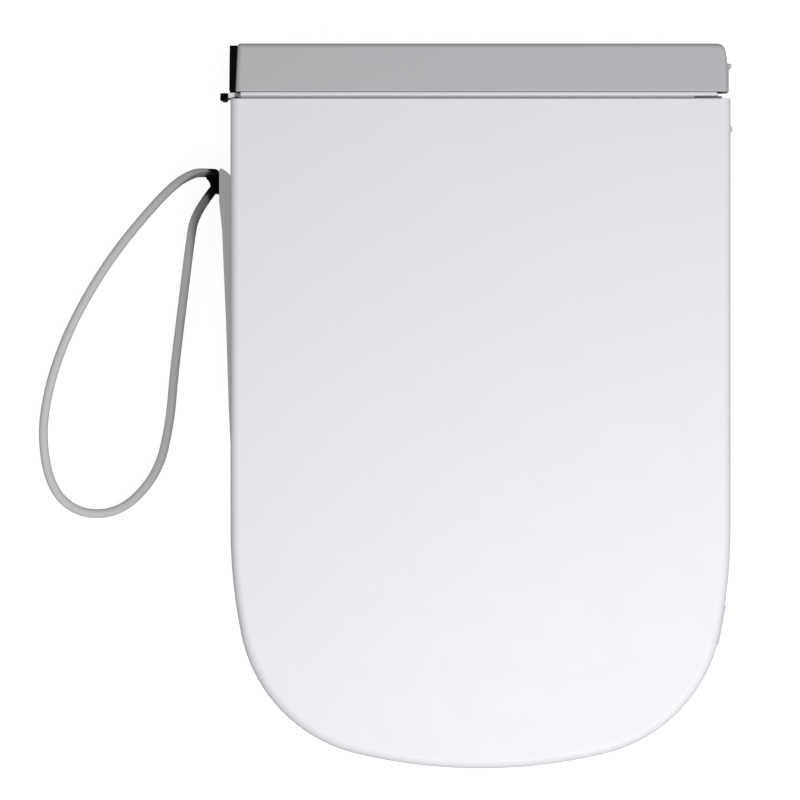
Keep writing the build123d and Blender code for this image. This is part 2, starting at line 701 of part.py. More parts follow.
with BuildPart() as motor_pinion:
    with BuildSketch(Plane.XY.offset(Z_P1[0])):
        with Locations(MOTOR):
            add(gear_face(10, phase_motor, 0.75))
    extrude(amount=Z_P1[1] - Z_P1[0])
motor_pinion.part.label = "motor_pinion"
export_step(motor_pinion.part, "parts/motor_pinion.step")

with BuildPart() as motor_shaft:
    with BuildSketch(Plane.XY.offset(21.4)):
        with Locations(MOTOR):
            Circle(0.75)
    extrude(amount=Z_P1[1] - 21.4 + 0.1)
motor_shaft.part.label = "motor_shaft"
export_step(motor_shaft.part, "parts/motor_shaft.step")

with BuildPart() as compound_gear:
    with BuildSketch(Plane.XY.offset(Z_P1[0])):
        with Locations(COMPOUND):
            add(gear_face(28, phase_a28, STUD_R + RUN))
    extrude(amount=Z_P1[1] - Z_P1[0])
    with BuildSketch(Plane.XY.offset(Z_P1[1])):
        with Locations(COMPOUND):
            Circle(1.85)
            Circle(STUD_R + RUN, mode=Mode.SUBTRACT)
    extrude(amount=Z_P2[0] - Z_P1[1])
    with BuildSketch(Plane.XY.offset(Z_P2[0])):
        with Locations(COMPOUND):
            add(gear_face(12, phase_a12, STUD_R + RUN))
    extrude(amount=Z_P2[1] - Z_P2[0])
compound_gear.part.label = "compound_gear"
export_step(compound_gear.part, "parts/compound_gear.step")

with BuildPart() as idler_gear:
    with BuildSketch(Plane.XY.offset(Z_P2[0])):
        with Locations(IDLER):
            add(gear_face(24, phase_b, STUD_R + RUN))
    extrude(amount=Z_P2[1] - Z_P2[0])
idler_gear.part.label = "idler_gear"
export_step(idler_gear.part, "parts/idler_gear.step")

with BuildPart() as platen_gear:
    with BuildSketch(Plane.XY.offset(Z_P2[0])):
        with Locations(PLATEN):
            add(gear_face(13, phase_platen, 1.25))
    extrude(amount=Z_P2[1] - Z_P2[0])
platen_gear.part.label = "platen_gear"
export_step(platen_gear.part, "parts/platen_gear.step")

with BuildPart() as gear_studs:
    # shoulder that holds the idler off the front plate
    with BuildSketch(Plane.XY.offset(32.3)):
        with Locations(IDLER):
            Circle(1.2)
    extrude(amount=1.35)
    for axis_at in (COMPOUND, IDLER):
        with BuildSketch(Plane.XY.offset(31.5)):
            with Locations(axis_at):
                Circle(STUD_R)
        extrude(amount=4.2)
        with BuildSketch(Plane.XY.offset(35.0)):
            with Locations(axis_at):
                Circle(STUD_R)
                Circle(0.7, mode=Mode.SUBTRACT)
        extrude(amount=0.4, mode=Mode.SUBTRACT)
gear_studs.part.label = "gear_studs"
export_step(gear_studs.part, "parts/gear_studs.step")

with BuildPart() as gear_clips:
    for axis_at in (COMPOUND, IDLER):
        with BuildSketch(Plane.XY.offset(35.0)):
            with Locations(axis_at):
                Circle(1.9)
                Circle(0.7, mode=Mode.SUBTRACT)
            with Locations((axis_at[0] + 1.3, axis_at[1])):
                Rectangle(2.6, 0.9, mode=Mode.SUBTRACT)
        extrude(amount=0.4)
gear_clips.part.label = "gear_clips"
export_step(gear_clips.part, "parts/gear_clips.step")

# ===================================================================== motor
MOTOR_SCREWS = [(MOTOR[0] + 4.1, MOTOR[1] - 2.87), (MOTOR[0] - 4.1, MOTOR[1] + 2.87)]
with BuildPart() as motor_body:
    with BuildSketch(Plane.XY.offset(20.5)):
        with Locations(MOTOR):
            Circle(7.5)
    extrude(amount=11.0)
    fillet(motor_body.edges().filter_by(GeomType.CIRCLE), 0.6)
    with BuildSketch(Plane.XY.offset(19.9)):
        with Locations(MOTOR):
            Circle(2.2)
    extrude(amount=1.0)
    with BuildSketch(Plane.XY.offset(31.4)):
        with Locations(MOTOR):
            Circle(2.3)
    extrude(amount=0.8)
    with BuildSketch(Plane.XY.offset(21.2)):
        with Locations(MOTOR):
            Circle(0.75 + 0.03)
    extrude(amount=12.0, mode=Mode.SUBTRACT)
    with BuildSketch(Plane.XY.offset(29.8)):
        with Locations(*MOTOR_SCREWS):
            Circle(0.7)
    extrude(amount=3.0, mode=Mode.SUBTRACT)
motor_body.part.label = "motor_body"
export_step(motor_body.part, "parts/motor_body.step")

motor_screw = cross_screw(1.3, 0.8, 0.7, 2.4)
with BuildPart() as motor_screws:
    with Locations(*[(x, y, 32.3) for x, y in MOTOR_SCREWS]):
        add(motor_screw)
motor_screws.part.label = "motor_screws"
export_step(motor_screws.part, "parts/motor_screws.step")

# =========================================================== mechanism frame
with BuildPart() as mechanism_frame:
    # front plate, which carries the motor and the gears
    with BuildSketch(Plane.XY.offset(31.5)):
        with BuildLine():
            Polyline(
                (19.2, 45.9), (19.2, 36.5), (16.8, 33.0), (16.8, 25.0), (19.5, 22.4),
                (30.2, 22.4), (32.6, 25.0), (33.2, 36.0), (33.2, 46.8), (22.7, 46.8),
                (22.7, 45.9), close=True,
            )
        make_face()
        with Locations(MOTOR):
            Circle(2.3, mode=Mode.SUBTRACT)
        with Locations(*MOTOR_SCREWS):
            Circle(0.7, mode=Mode.SUBTRACT)
        with Locations(COMPOUND, IDLER):
            Circle(STUD_R, mode=Mode.SUBTRACT)
    extrude(amount=0.8)
    # rear plate
    with BuildSketch(Plane.XY.offset(4.4)):
        with BuildLine():
            Polyline((19.2, 45.9), (19.2, 38.4), (33.2, 38.4), (33.2, 46.8), (22.7, 46.8), (22.7, 45.9), close=True)
        make_face()
    extrude(amount=0.8)
    # shelf and web
    with BuildSketch(Plane.XY.offset(4.4)):
        with Locations((26.2, 38.8)):
            Rectangle(14.0, 0.8)
        with Locations((19.6, 42.15)):
            Rectangle(0.8, 7.5)
    extrude(amount=27.9)
    # notch for the print head cable
    with BuildSketch(Plane.XY.offset(12.2)):
        with Locations((22.2, 38.8)):
            Rectangle(3.6, 2.0)
    extrude(amount=3.8, mode=Mode.SUBTRACT)
    # tab for the latch spring
    with BuildSketch(Plane.XY.offset(16.4)):
        with Locations((29.4, 41.3)):
            Rectangle(0.8, 4.6)
    extrude(amount=3.2)
    # pivot pin holes of the print head
    with BuildSketch(Plane.XY.offset(4.0)):
        with Locations(HEAD_PIVOT):
            Circle(0.75)
    extrude(amount=30.0, mode=Mode.SUBTRACT)
    with BuildSketch(Plane.YZ.offset(19.0)):
        with Locations((42.5, 10.0), (42.5, 26.0)):
            Circle(0.85)
    extrude(amount=1.5, mode=Mode.SUBTRACT)
mechanism_frame.part.label = "mechanism_frame"
export_step(mechanism_frame.part, "parts/mechanism_frame.step")

frame_screw = cross_screw(1.6, 1.0, 0.8, 2.6)
with BuildPart() as frame_screws:
    with Locations(*[Plane(origin=(20.0, 42.5, z), x_dir=(0, 1, 0), z_dir=(1, 0, 0)).location for z in (10.0, 26.0)]):
        add(frame_screw)
frame_screws.part.label = "frame_screws"
export_step(frame_screws.part, "parts/frame_screws.step")

# ================================================================ print head
with BuildPart() as print_head_plate:
    with BuildSketch(Plane.XY.offset(5.7)):
        with Locations((29.75, 46.0)):
            Rectangle(10.5, 2.0)
    extrude(amount=25.3)
    # cooling grooves
    with BuildSketch(Plane.XY.offset(5.0)):
        with Locations((33.0, 45.0), (34.2, 45.0)):
            Rectangle(0.5, 1.2)
    extrude(amount=27.0, mode=Mode.SUBTRACT)
    # pivot lugs
    for z0 in (5.7, 29.0):
        with BuildSketch(Plane.XY.offset(z0)):
            with Locations(HEAD_PIVOT):
                Circle(1.3)
            with Locations((25.4, 45.0)):
                Rectangle(1.8, 1.2)
        extrude(amount=2.0)
    with BuildSketch(Plane.XY.offset(5.0)):
        with Locations(HEAD_PIVOT):
            Circle(0.75 + RUN)
    extrude(amount=27.0, mode=Mode.SUBTRACT)
print_head_plate.part.label = "print_head_plate"
export_step(print_head_plate.part, "parts/print_head_plate.step")

with BuildPart() as print_head_ceramic:
    with BuildSketch(Plane.XY.offset(5.9)):
        with BuildLine():
            Polyline((27.0, 47.0), (34.9, 47.0), (34.9, 47.85), (32.3, 47.85), (32.0, 47.92), (31.0, 47.92), (30.7, 47.85), (27.0, 47.85), close=True)
        make_face()
    extrude(amount=24.9)
print_head_ceramic.part.label = "print_head_ceramic"
export_step(print_head_ceramic.part, "parts/print_head_ceramic.step")

with BuildPart() as print_head_connector:
    with BuildSketch(Plane.XY.offset(11.0)):
        with Locations((27.5, 43.1)):
            Rectangle(1.8, 3.8)
    extrude(amount=6.0)
    chamfer(print_head_connector.edges().filter_by(Axis.X), 0.3)
print_head_connector.part.label = "print_head_connector"
export_step(print_head_connector.part, "parts/print_head_connector.step")

with BuildPart() as head_pivot_pin:
    with BuildSketch(Plane.XY.offset(4.4)):
        with Locations(HEAD_PIVOT):
            Circle(0.75)
    extrude(amount=27.9)
head_pivot_pin.part.label = "head_pivot_pin"
export_step(head_pivot_pin.part, "parts/head_pivot_pin.step")

head_coil = coil(0.2, 1.7, 5.8, 6)
with BuildPart() as head_springs:
    with Locations(*[Plane(origin=(30.5, 39.2, z), x_dir=(1, 0, 0), z_dir=(0, 1, 0)).location for z in (9.9, 25.5)]):
        add(head_coil)
head_springs.part.label = "head_springs"
export_step(head_springs.part, "parts/head_springs.step")

# ===================================================================== latch
with BuildPart() as latch_slider:
    with BuildSketch(Plane.XY.offset(3.1)):
        with Locations((35.4, 42.0)):
            Rectangle(1.6, 3.2)
    extrude(amount=30.4)
    for z0, h in ((3.1, 1.1), (32.5, 1.0)):
        with BuildSketch(Plane.XY.offset(z0)):
            with BuildLine():
                Polyline(
                    (34.6, 43.4), (35.6, 43.4), (35.6, 49.7), (36.4, 49.7), (35.7, 50.6),
                    (34.6, 50.6), close=True,
                )
            make_face()
        extrude(amount=h)
    # stem to the release button
    with BuildSketch(Plane.XY.offset(12.0)):
        with Locations((36.7, 43.1)):
            Rectangle(1.3, 1.4)
    extrude(amount=14.0)
latch_slider.part.label = "latch_slider"
export_step(latch_slider.part, "parts/latch_slider.step")

with BuildPart() as release_button:
    with BuildSketch(Plane.XY.offset(9.2)):
        with BuildLine():
            Polyline(
                (37.35, 42.35), (38.9, 42.35), (38.9, 42.9), (38.58, 43.25),
                (38.58, 47.2), (37.35, 47.2), close=True,
            )
        make_face()
    extrude(amount=19.6)
    chamfer(release_button.faces().sort_by(Axis.X)[-1].edges().filter_by(Axis.Y), 0.3)
release_button.part.label = "release_button"
export_step(release_button.part, "parts/release_button.step")

latch_coil = coil(0.15, 1.25, 4.8, 6)
with BuildPart() as latch_spring:
    with Locations(Plane(origin=(29.8, 42.0, 18.0), x_dir=(0, 1, 0), z_dir=(1, 0, 0)).location):
        add(latch_coil)
latch_spring.part.label = "latch_spring"
export_step(latch_spring.part, "parts/latch_spring.step")

# ================================================================== tear bar
TEETH = 27
tooth_pts = []
for i in range(TEETH):
    z = 4.9 + i
    tooth_pts += [(36.7, z), (37.2, z + 0.5)]
tooth_pts.append((36.7, 4.9 + TEETH))
with BuildPart() as tear_bar:
    with BuildSketch(Plane.XZ.offset(-Y_SEAM)):
        with BuildLine():
            Polyline((35.55, 4.9), *tooth_pts, (35.55, 4.9 + TEETH), close=True)
        make_face()
    extrude(amount=-0.4)
tear_bar.part.label = "tear_bar"
export_step(tear_bar.part, "parts/tear_bar.step")

with BuildPart() as gap_sensor:
    with BuildSketch(Plane.XZ.offset(-45.0)):
        with Locations((13.0, 17.5)):
            Rectangle(4.0, 5.0)
    extrude(amount=-2.35)
    fillet(gap_sensor.faces().sort_by(Axis.Y)[-1].edges(), 0.3)
gap_sensor.part.label = "gap_sensor"
export_step(gap_sensor.part, "parts/gap_sensor.step")

# ================================================================ label roll
with BuildPart() as label_roll:
    with BuildSketch(Plane.XY.offset(ROLL_Z0)):
        with Locations((ROLL_X, ROLL_Y)):
            Circle(ROLL_R)
            Circle(6.5, mode=Mode.SUBTRACT)
    extrude(amount=ROLL_Z1 - ROLL_Z0)
label_roll.part.label = "label_roll"
export_step(label_roll.part, "parts/label_roll.step")

with BuildPart() as roll_core:
    with BuildSketch(Plane.XY.offset(ROLL_Z0 - 0.2)):
        with Locations((ROLL_X, ROLL_Y)):
            Circle(6.5)
            Circle(5.6, mode=Mode.SUBTRACT)
    extrude(amount=ROLL_Z1 - ROLL_Z0 + 0.4)
roll_core.part.label = "roll_core"
export_step(roll_core.part, "parts/roll_core.step")

# =============================================================== electronics
with BuildPart() as main_board:
    with BuildSketch(Plane.XY.offset(Z_BOARD)):
        with BuildLine():
            Polyline(
                (-31, -5), (31, -5), (31, -29), (32.9, -29), (32.9, -38), (27.5, -40),
                (16, -40), (14, -42), (14, -51.4), (-14, -51.4), (-14, -42), (-16, -40),
                (-27.5, -40), (-31, -37), close=True,
            )
        make_face()
        with Locations(*BOARD_SCREWS):
            Circle(1.0, mode=Mode.SUBTRACT)
    extrude(amount=T_BOARD)
main_board.part.label = "main_board"
export_step(main_board.part, "parts/main_board.step")

board_screw = cross_screw(1.7, 1.1, 0.75, 6.0)
with BuildPart() as board_screws:
    with Locations(*[(x, y, Z_BOARD + T_BOARD) for x, y in BOARD_SCREWS]):
        add(board_screw)
board_screws.part.label = "board_screws"
export_step(board_screws.part, "parts/board_screws.step")

USB_Z = 12.58
with BuildPart() as usb_port:
    with BuildSketch(Plane.XZ.offset(47.5)):
        with Locations((0, USB_Z)):
            RectangleRounded(8.94, 3.16, 1.3)
    extrude(amount=7.4)
    with BuildSketch(Plane.XZ.offset(48.0)):
        with Locations((0, USB_Z)):
            RectangleRounded(8.34, 2.56, 1.0)
    extrude(amount=8.0, mode=Mode.SUBTRACT)
usb_port.part.label = "usb_port"
export_step(usb_port.part, "parts/usb_port.step")

with BuildPart() as usb_insert:
    with BuildSketch(Plane.XZ.offset(48.0)):
        with Locations((0, USB_Z)):
            RectangleRounded(8.34, 2.56, 1.0)
    extrude(amount=1.4)
    with BuildSketch(Plane.XZ.offset(49.4)):
        with Locations((0, USB_Z)):
            Rectangle(6.7, 0.7)
    extrude(amount=4.6)
usb_insert.part.label = "usb_insert"
export_step(usb_insert.part, "parts/usb_insert.step")

Z_TOPB = Z_BOARD + T_BOARD
with BuildPart() as radio_shield:
    with BuildSketch(Plane.XY.offset(Z_TOPB)):
        with Locations((-20, -27)):
            RectangleRounded(12, 15, 0.8)
    extrude(amount=2.0)
    chamfer(radio_shield.faces().sort_by(Axis.Z)[-1].edges(), 0.3)
radio_shield.part.label = "radio_shield"
export_step(radio_shield.part, "parts/radio_shield.step")

with BuildPart() as board_chips:
    with BuildSketch(Plane.XY.offset(Z_TOPB)):
        with Locations((1, -19)):
            Rectangle(9, 9)
        with Locations((14, -26)):
            Rectangle(5, 4)
        with Locations((-5, -31)):
            Rectangle(4, 5)
        with Locations((20, -34)):
            Rectangle(4, 4)
    extrude(amount=1.0)
board_chips.part.label = "board_chips"
export_step(board_chips.part, "parts/board_chips.step")

with BuildPart() as board_capacitors:
    with BuildSketch(Plane.XY.offset(Z_TOPB)):
        with Locations((4.5, -9.5), (11, -9.5)):
            Circle(2.5)
    extrude(amount=7.0)
    fillet(board_capacitors.faces().filter_by(Plane.XY).group_by(Axis.Z)[-1].edges(), 0.4)
board_capacitors.part.label = "board_capacitors"
export_step(board_capacitors.part, "parts/board_capacitors.step")

with BuildPart() as board_connectors:
    with BuildSketch(Plane.XY.offset(Z_TOPB)):
        with Locations((-18, -8.7)):
            Rectangle(6.4, 5.0)
        with Locations((18, -8.7)):
            Rectangle(5.6, 5.0)
        with Locations((24.2, -8.7)):
            Rectangle(3.8, 5.0)
    extrude(amount=4.0)
board_connectors.part.label = "board_connectors"
export_step(board_connectors.part, "parts/board_connectors.step")

# ============================================================== power button
with BuildPart() as power_button:
    with BuildSketch(PB_PLANE.offset(-1.9)):
        RectangleRounded(8.7, 6.3, 0.85)
    extrude(amount=2.25)
    fillet(power_button.faces().sort_by(Axis.X)[-1].edges(), 0.35)
    with BuildSketch(PB_PLANE.offset(-1.85)):
        RectangleRounded(10.4, 8.0, 1.2)
    extrude(amount=-0.8)
power_button.part.label = "power_button"
export_step(power_button.part, "parts/power_button.step")

with BuildPart() as tact_switch:
    with BuildSketch(PB_PLANE.offset(-4.3)):
        with Locations((0.3, 0)):
            Rectangle(3.6, 6.0)
    extrude(amount=-3.6)
    with BuildSketch(PB_PLANE.offset(-4.3)):
        Circle(1.0 + RUN)
    extrude(amount=-1.0, mode=Mode.SUBTRACT)
tact_switch.part.label = "tact_switch"
export_step(tact_switch.part, "parts/tact_switch.step")

with BuildPart() as tact_plunger:
    with BuildSketch(PB_PLANE.offset(-4.85)):
        Circle(1.0)
    extrude(amount=2.17)
tact_plunger.part.label = "tact_plunger"
export_step(tact_plunger.part, "parts/tact_plunger.step")

# =================================================================== battery
with BuildPart() as battery_pack:
    with BuildSketch(Plane.XY.offset(23.4)):
        with Locations((0, -23)):
            RectangleRounded(52, 33, 2.5)
    extrude(amount=12.0)
    fillet(battery_pack.edges().group_by(Axis.Z)[0] + battery_pack.edges().group_by(Axis.Z)[-1], 1.5)
battery_pack.part.label = "battery_pack"
export_step(battery_pack.part, "parts/battery_pack.step")

with BuildPart() as battery_tape:
    with BuildSketch(Plane.XY.offset(35.4)):
        with Locations((-13, -23), (13, -23)):
            Rectangle(12, 24)
    extrude(amount=1.0)
battery_tape.part.label = "battery_tape"
export_step(battery_tape.part, "parts/battery_tape.step")


def lead_radii(points):
    """Arc radius at each inner point: 0.45 of the shorter run over tan of half the turn."""
    radii = []
    for a, b, c in zip(points, points[1:], points[2:]):
        u, v = Vector(*b) - Vector(*a), Vector(*c) - Vector(*b)
        turn = math.radians(u.get_angle(v))
        radii.append(0.45 * min(u.length, v.length) / math.tan(turn / 2))
    return radii


BATTERY_LEAD = [(-18, -6.5, 29.5), (-18, -3.9, 29.5), (-18.1, -1.7, 26.6), (-18.3, -1.3, 21.6), (-18.1, -1.6, 16.6), (-18, -3.5, 13.0), (-18, -6.2, 13.0)]
HEAD_LEAD = [(26.4, 42.1, 14.0), (24.1, 42.0, 14.0), (22.3, 40.4, 14.0), (21.9, 37.0, 14.1), (21.0, 31.0, 13.8), (20.2, 21.0, 14.2), (19.2, 11.0, 13.9), (18.0, 2.0, 13.1), (18.0, -6.2, 13.1)]
MOTOR_LEAD = [(27.5, 27.0, 20.5), (27.5, 27.0, 18.6), (27.4, 25.2, 16.2), (27.0, 21.5, 14.8), (26.0, 13.5, 14.3), (24.2, 4.0, 13.1), (24.2, -6.2, 13.1)]

with BuildPart() as battery_lead:
    with BuildLine() as bl_path:
        FilletPolyline(*BATTERY_LEAD, radius=lead_radii(BATTERY_LEAD))
    with BuildSketch(Plane(origin=BATTERY_LEAD[0], z_dir=bl_path.line % 0)):
        Circle(0.8)
    sweep(path=bl_path.line)
battery_lead.part.label = "battery_lead"
export_step(battery_lead.part, "parts/battery_lead.step")

with BuildPart() as print_head_lead:
    with BuildLine() as hl_path:
        FilletPolyline(*HEAD_LEAD, radius=lead_radii(HEAD_LEAD))
    with BuildSketch(Plane(origin=HEAD_LEAD[0], z_dir=hl_path.line % 0)):
        Circle(0.9)
    sweep(path=hl_path.line)
print_head_lead.part.label = "print_head_lead"
export_step(print_head_lead.part, "parts/print_head_lead.step")

with BuildPart() as motor_lead:
    with BuildLine() as ml_path:
        FilletPolyline(*MOTOR_LEAD, radius=lead_radii(MOTOR_LEAD))
    with BuildSketch(Plane(origin=MOTOR_LEAD[0], z_dir=ml_path.line % 0)):
        Circle(0.7)
    sweep(path=ml_path.line)
motor_lead.part.label = "motor_lead"
export_step(motor_lead.part, "parts/motor_lead.step")

# =============================================================== wrist strap
with BuildPart() as strap_pin:
    with BuildSketch(Plane.XY.offset(2.0)):
        with Locations((-39.1, 33.9)):
            Circle(0.6)
    extrude(amount=6.2)
strap_pin.part.label = "strap_pin"
export_step(strap_pin.part, "parts/strap_pin.step")

with BuildPart() as strap_collar:
    # moulded end, with one slanted face for each strand
    with BuildSketch(Plane.XY.offset(3.1)):
        with BuildLine():
            Polyline(
                (-40.4, 36.55), (-42.43, 36.55), (-41.82, 34.80), (-41.95, 34.25), (-42.691, 32.794),
                (-41.309, 31.806), (-40.4, 31.806), close=True,
            )
        make_face()
    extrude(amount=4.4)
    with BuildSketch(Plane.XY.offset(3.4)):
        with Locations((-39.3, 33.85)):
            Rectangle(3.4, 3.3)
    extrude(amount=3.8)
    with BuildSketch(Plane.XY.offset(2.0)):
        with Locations((-39.1, 33.9)):
            Circle(0.6)
    extrude(amount=8.0, mode=Mode.SUBTRACT)
strap_collar.part.label = "strap_collar"
export_step(strap_collar.part, "parts/strap_collar.step")

STRAP = [
    (-42.1, 35.6, 5.30), (-47.58, 33.69, 5.30), (-53.15, 27.75, 4.20), (-57.38, 22.13, 3.00),
    (-61.33, 15.61, 2.15), (-64.40, 9.16, 1.90), (-66.57, 2.29, 1.88), (-67.57, -4.96, 1.88),
    (-66.17, -12.91, 1.88), (-61.75, -16.86, 1.88), (-55.19, -16.48, 1.88), (-49.61, -10.43, 1.88),
    (-47.82, -2.58, 1.88), (-47.23, 4.72, 1.90), (-46.40, 11.86, 2.15), (-45.50, 19.00, 3.20),
    (-44.75, 25.40, 4.50), (-44.0, 29.5, 5.30), (-42.0, 32.3, 5.30),
]
strap_radii = lead_radii(STRAP)
print("strap radii", [round(r, 1) for r in strap_radii])
with BuildPart() as wrist_strap:
    with BuildLine() as strap_path:
        FilletPolyline(*STRAP, radius=strap_radii)
    with BuildSketch(Plane(origin=STRAP[0], x_dir=(0, 0, 1), z_dir=strap_path.line % 0)):
        Rectangle(STRAP_W, STRAP_T)
    sweep(path=strap_path.line)
wrist_strap.part.label = "wrist_strap"
export_step(wrist_strap.part, "parts/wrist_strap.step")
strap_length = sum(e.length for e in strap_path.line.edges())
print("strap length", round(strap_length, 2), "volume", round(wrist_strap.part.volume, 1),
      "section x length", round(STRAP_W * STRAP_T * strap_length, 1))
print("battery lead radii", [round(r, 1) for r in lead_radii(BATTERY_LEAD)])
print("head lead radii", [round(r, 1) for r in lead_radii(HEAD_LEAD)])
print("motor lead radii", [round(r, 1) for r in lead_radii(MOTOR_LEAD)])
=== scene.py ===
import json
import math
import random

import bpy
from mathutils import Matrix, Vector


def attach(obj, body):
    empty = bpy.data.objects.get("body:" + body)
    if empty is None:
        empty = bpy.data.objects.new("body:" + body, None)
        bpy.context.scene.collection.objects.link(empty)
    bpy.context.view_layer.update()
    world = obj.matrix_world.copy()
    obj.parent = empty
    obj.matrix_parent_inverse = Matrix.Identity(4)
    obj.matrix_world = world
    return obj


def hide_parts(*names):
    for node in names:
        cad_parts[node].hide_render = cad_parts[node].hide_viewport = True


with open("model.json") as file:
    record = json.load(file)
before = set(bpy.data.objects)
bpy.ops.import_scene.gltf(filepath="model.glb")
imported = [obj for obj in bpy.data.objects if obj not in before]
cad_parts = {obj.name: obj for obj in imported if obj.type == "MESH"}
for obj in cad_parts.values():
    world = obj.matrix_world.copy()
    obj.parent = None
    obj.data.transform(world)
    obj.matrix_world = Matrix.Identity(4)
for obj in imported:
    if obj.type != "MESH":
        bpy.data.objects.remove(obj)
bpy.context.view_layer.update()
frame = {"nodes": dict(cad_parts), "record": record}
nodes = frame["nodes"]
scene = bpy.context.scene
MM = 0.001

# ---------------------------------------------------------------- camera
# Straight down on the plain front face, from far away through a long lens.
# The view is 123.2 mm wide at the height where the outline is widest.
LENS = 1500.0
SENSOR = 36.0
VIEW_W = 123.2 * MM
OUTLINE_Z = 36.0 * MM

camera_data = bpy.data.cameras.new("camera")
camera_data.lens = LENS
camera_data.sensor_width = SENSOR
camera_data.clip_start = 0.1
camera_data.clip_end = 30.0
camera_data.dof.use_dof = False
camera = bpy.data.objects.new("camera", camera_data)
camera.location = (-12.4 * MM, 0.92 * MM, OUTLINE_Z + VIEW_W * LENS / SENSOR)
scene.collection.objects.link(camera)
scene.camera = camera

# ---------------------------------------------------------------- wrist strap
STRAP = [
    (-40.9, 36.02, 5.30), (-42.6, 36.16, 5.30), (-44.6, 36.04, 5.30), (-47.9, 33.95, 5.30), (-53.40, 27.80, 4.20), (-57.70, 22.20, 3.00),
    (-61.70, 15.70, 2.15), (-64.80, 9.18, 1.90), (-67.00, 2.29, 1.88), (-67.98, -5.00, 1.88),
    (-66.50, -12.95, 1.88), (-62.05, -16.88, 1.88), (-55.45, -16.48, 1.88), (-49.86, -10.48, 1.88),
    (-48.05, -2.58, 1.88), (-47.45, 4.72, 1.90), (-46.60, 11.86, 2.15), (-45.70, 19.00, 3.20),
    (-44.92, 25.40, 4.50), (-44.17, 29.85, 5.30), (-41.35, 33.45, 5.30),
]
STRAP_T = 1.40 * MM
STRAP_W = 3.60 * MM


def route_points(points, steps):
    """The points of the smooth spline that has these control points."""
    data = bpy.data.curves.new("route", "CURVE")
    data.dimensions = "3D"
    data.resolution_u = steps
    spline = data.splines.new("NURBS")
    spline.points.add(len(points) - 1)
    for p, (x, y, z) in zip(spline.points, points):
        p.co = (x * MM, y * MM, z * MM, 1.0)
    spline.order_u = 3
    spline.use_endpoint_u = True
    holder = bpy.data.objects.new("route", data)
    scene.collection.objects.link(holder)
    bpy.context.view_layer.update()
    mesh = bpy.data.meshes.new_from_object(holder)
    line = [v.co.copy() for v in mesh.vertices]
    bpy.data.objects.remove(holder)
    bpy.data.meshes.remove(mesh)
    clean = [line[0]]
    for p in line[1:]:
        if (p - clean[-1]).length > 1e-6:
            clean.append(p)
    return clean


def ribbon_section(thick, wide, corner, crown, per_corner):
    """Outline of the ribbon's cut: x across the thin way, y across the wide way."""
    points = []
    for sx, sy, turn in ((1, 1, 0), (-1, 1, 90), (-1, -1, 180), (1, -1, 270)):
        cx = sx * (thick / 2 - corner)
        cy = sy * (wide / 2 - corner)
        for k in range(per_corner + 1):
            a = math.radians(turn + 90.0 * k / per_corner)
            x = cx + corner * math.cos(a)
            y = cy + corner * math.sin(a)
            points.append((x, y))
    # the two wide faces stand a hair proud in their middle
    out = []
    for i, (x, y) in enumerate(points):
        out.append((x, y))
        x2, y2 = points[(i + 1) % len(points)]
        if abs(y2 - y) > wide * 0.4:
            for k in (1, 2, 3, 4, 5):
                t = k / 6
                out.append((x + (x2 - x) * t + math.copysign(crown * math.sin(math.pi * t), x), y + (y2 - y) * t))
        elif abs(x2 - x) > thick * 0.15:
            for k in (1, 2):
                t = k / 3
                out.append((x + (x2 - x) * t, y + (y2 - y) * t))
    return out


def finished_object(name, mesh, smooth=True):
    for face in mesh.polygons:
        face.use_smooth = smooth
    mesh.update()
    obj = bpy.data.objects.new(name, mesh)
    scene.collection.objects.link(obj)
    return obj


strap_line = route_points(STRAP, 28)
strap_length = sum((b - a).length for a, b in zip(strap_line, strap_line[1:]))


def make_ribbon():
    section = ribbon_section(STRAP_T - 0.04 * MM, STRAP_W, 0.60 * MM, 0.0, 7)
    n = len(section)
    verts, faces, along, side, back = [], [], [], [], []
    gone = 0.0
    for i, p in enumerate(strap_line):
        a = strap_line[max(i - 1, 0)]
        b = strap_line[min(i + 1, len(strap_line) - 1)]
        ahead = (b - a).normalized()
        across = ahead.cross(Vector((0, 0, 1))).normalized()
        up = across.cross(ahead).normalized()
        if i:
            gone += (p - strap_line[i - 1]).length
        half = 1.0 if gone < strap_length / 2 else -1.0
        for x, y in section:
            verts.append(p + across * x + up * y)
            along.append(min(gone, strap_length - gone))
            side.append(half * x / (STRAP_T / 2))
            back.append(0.0 if half > 0 else 1.0)
    rows = len(strap_line)
    for i in range(rows - 1):
        for k in range(n):
            a, b = i * n + k, i * n + (k + 1) % n
            faces.append((a, a + n, b + n, b))
    faces.append(tuple(range(n)))
    faces.append(tuple((rows - 1) * n + k for k in reversed(range(n))))
    mesh = bpy.data.meshes.new("wrist_ribbon")
    mesh.from_pydata([tuple(v) for v in verts], [], faces)
    mesh.validate()
    from_root = mesh.attributes.new("from_root", "FLOAT", "POINT")
    from_root.data.foreach_set("value", along)
    # which side of the ribbon each point is on, for placing the painted shade on the strap
    shade_side = mesh.attributes.new("shade_side", "FLOAT", "POINT")
    shade_side.data.foreach_set("value", side)
    way_back = mesh.attributes.new("way_back", "FLOAT", "POINT")
    way_back.data.foreach_set("value", back)
    obj = finished_object("wrist_ribbon", mesh)
    for face in mesh.polygons[-2:]:
        face.use_smooth = False
    return obj


ribbon = make_ribbon()
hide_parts("wrist_strap")
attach(ribbon, "casing")


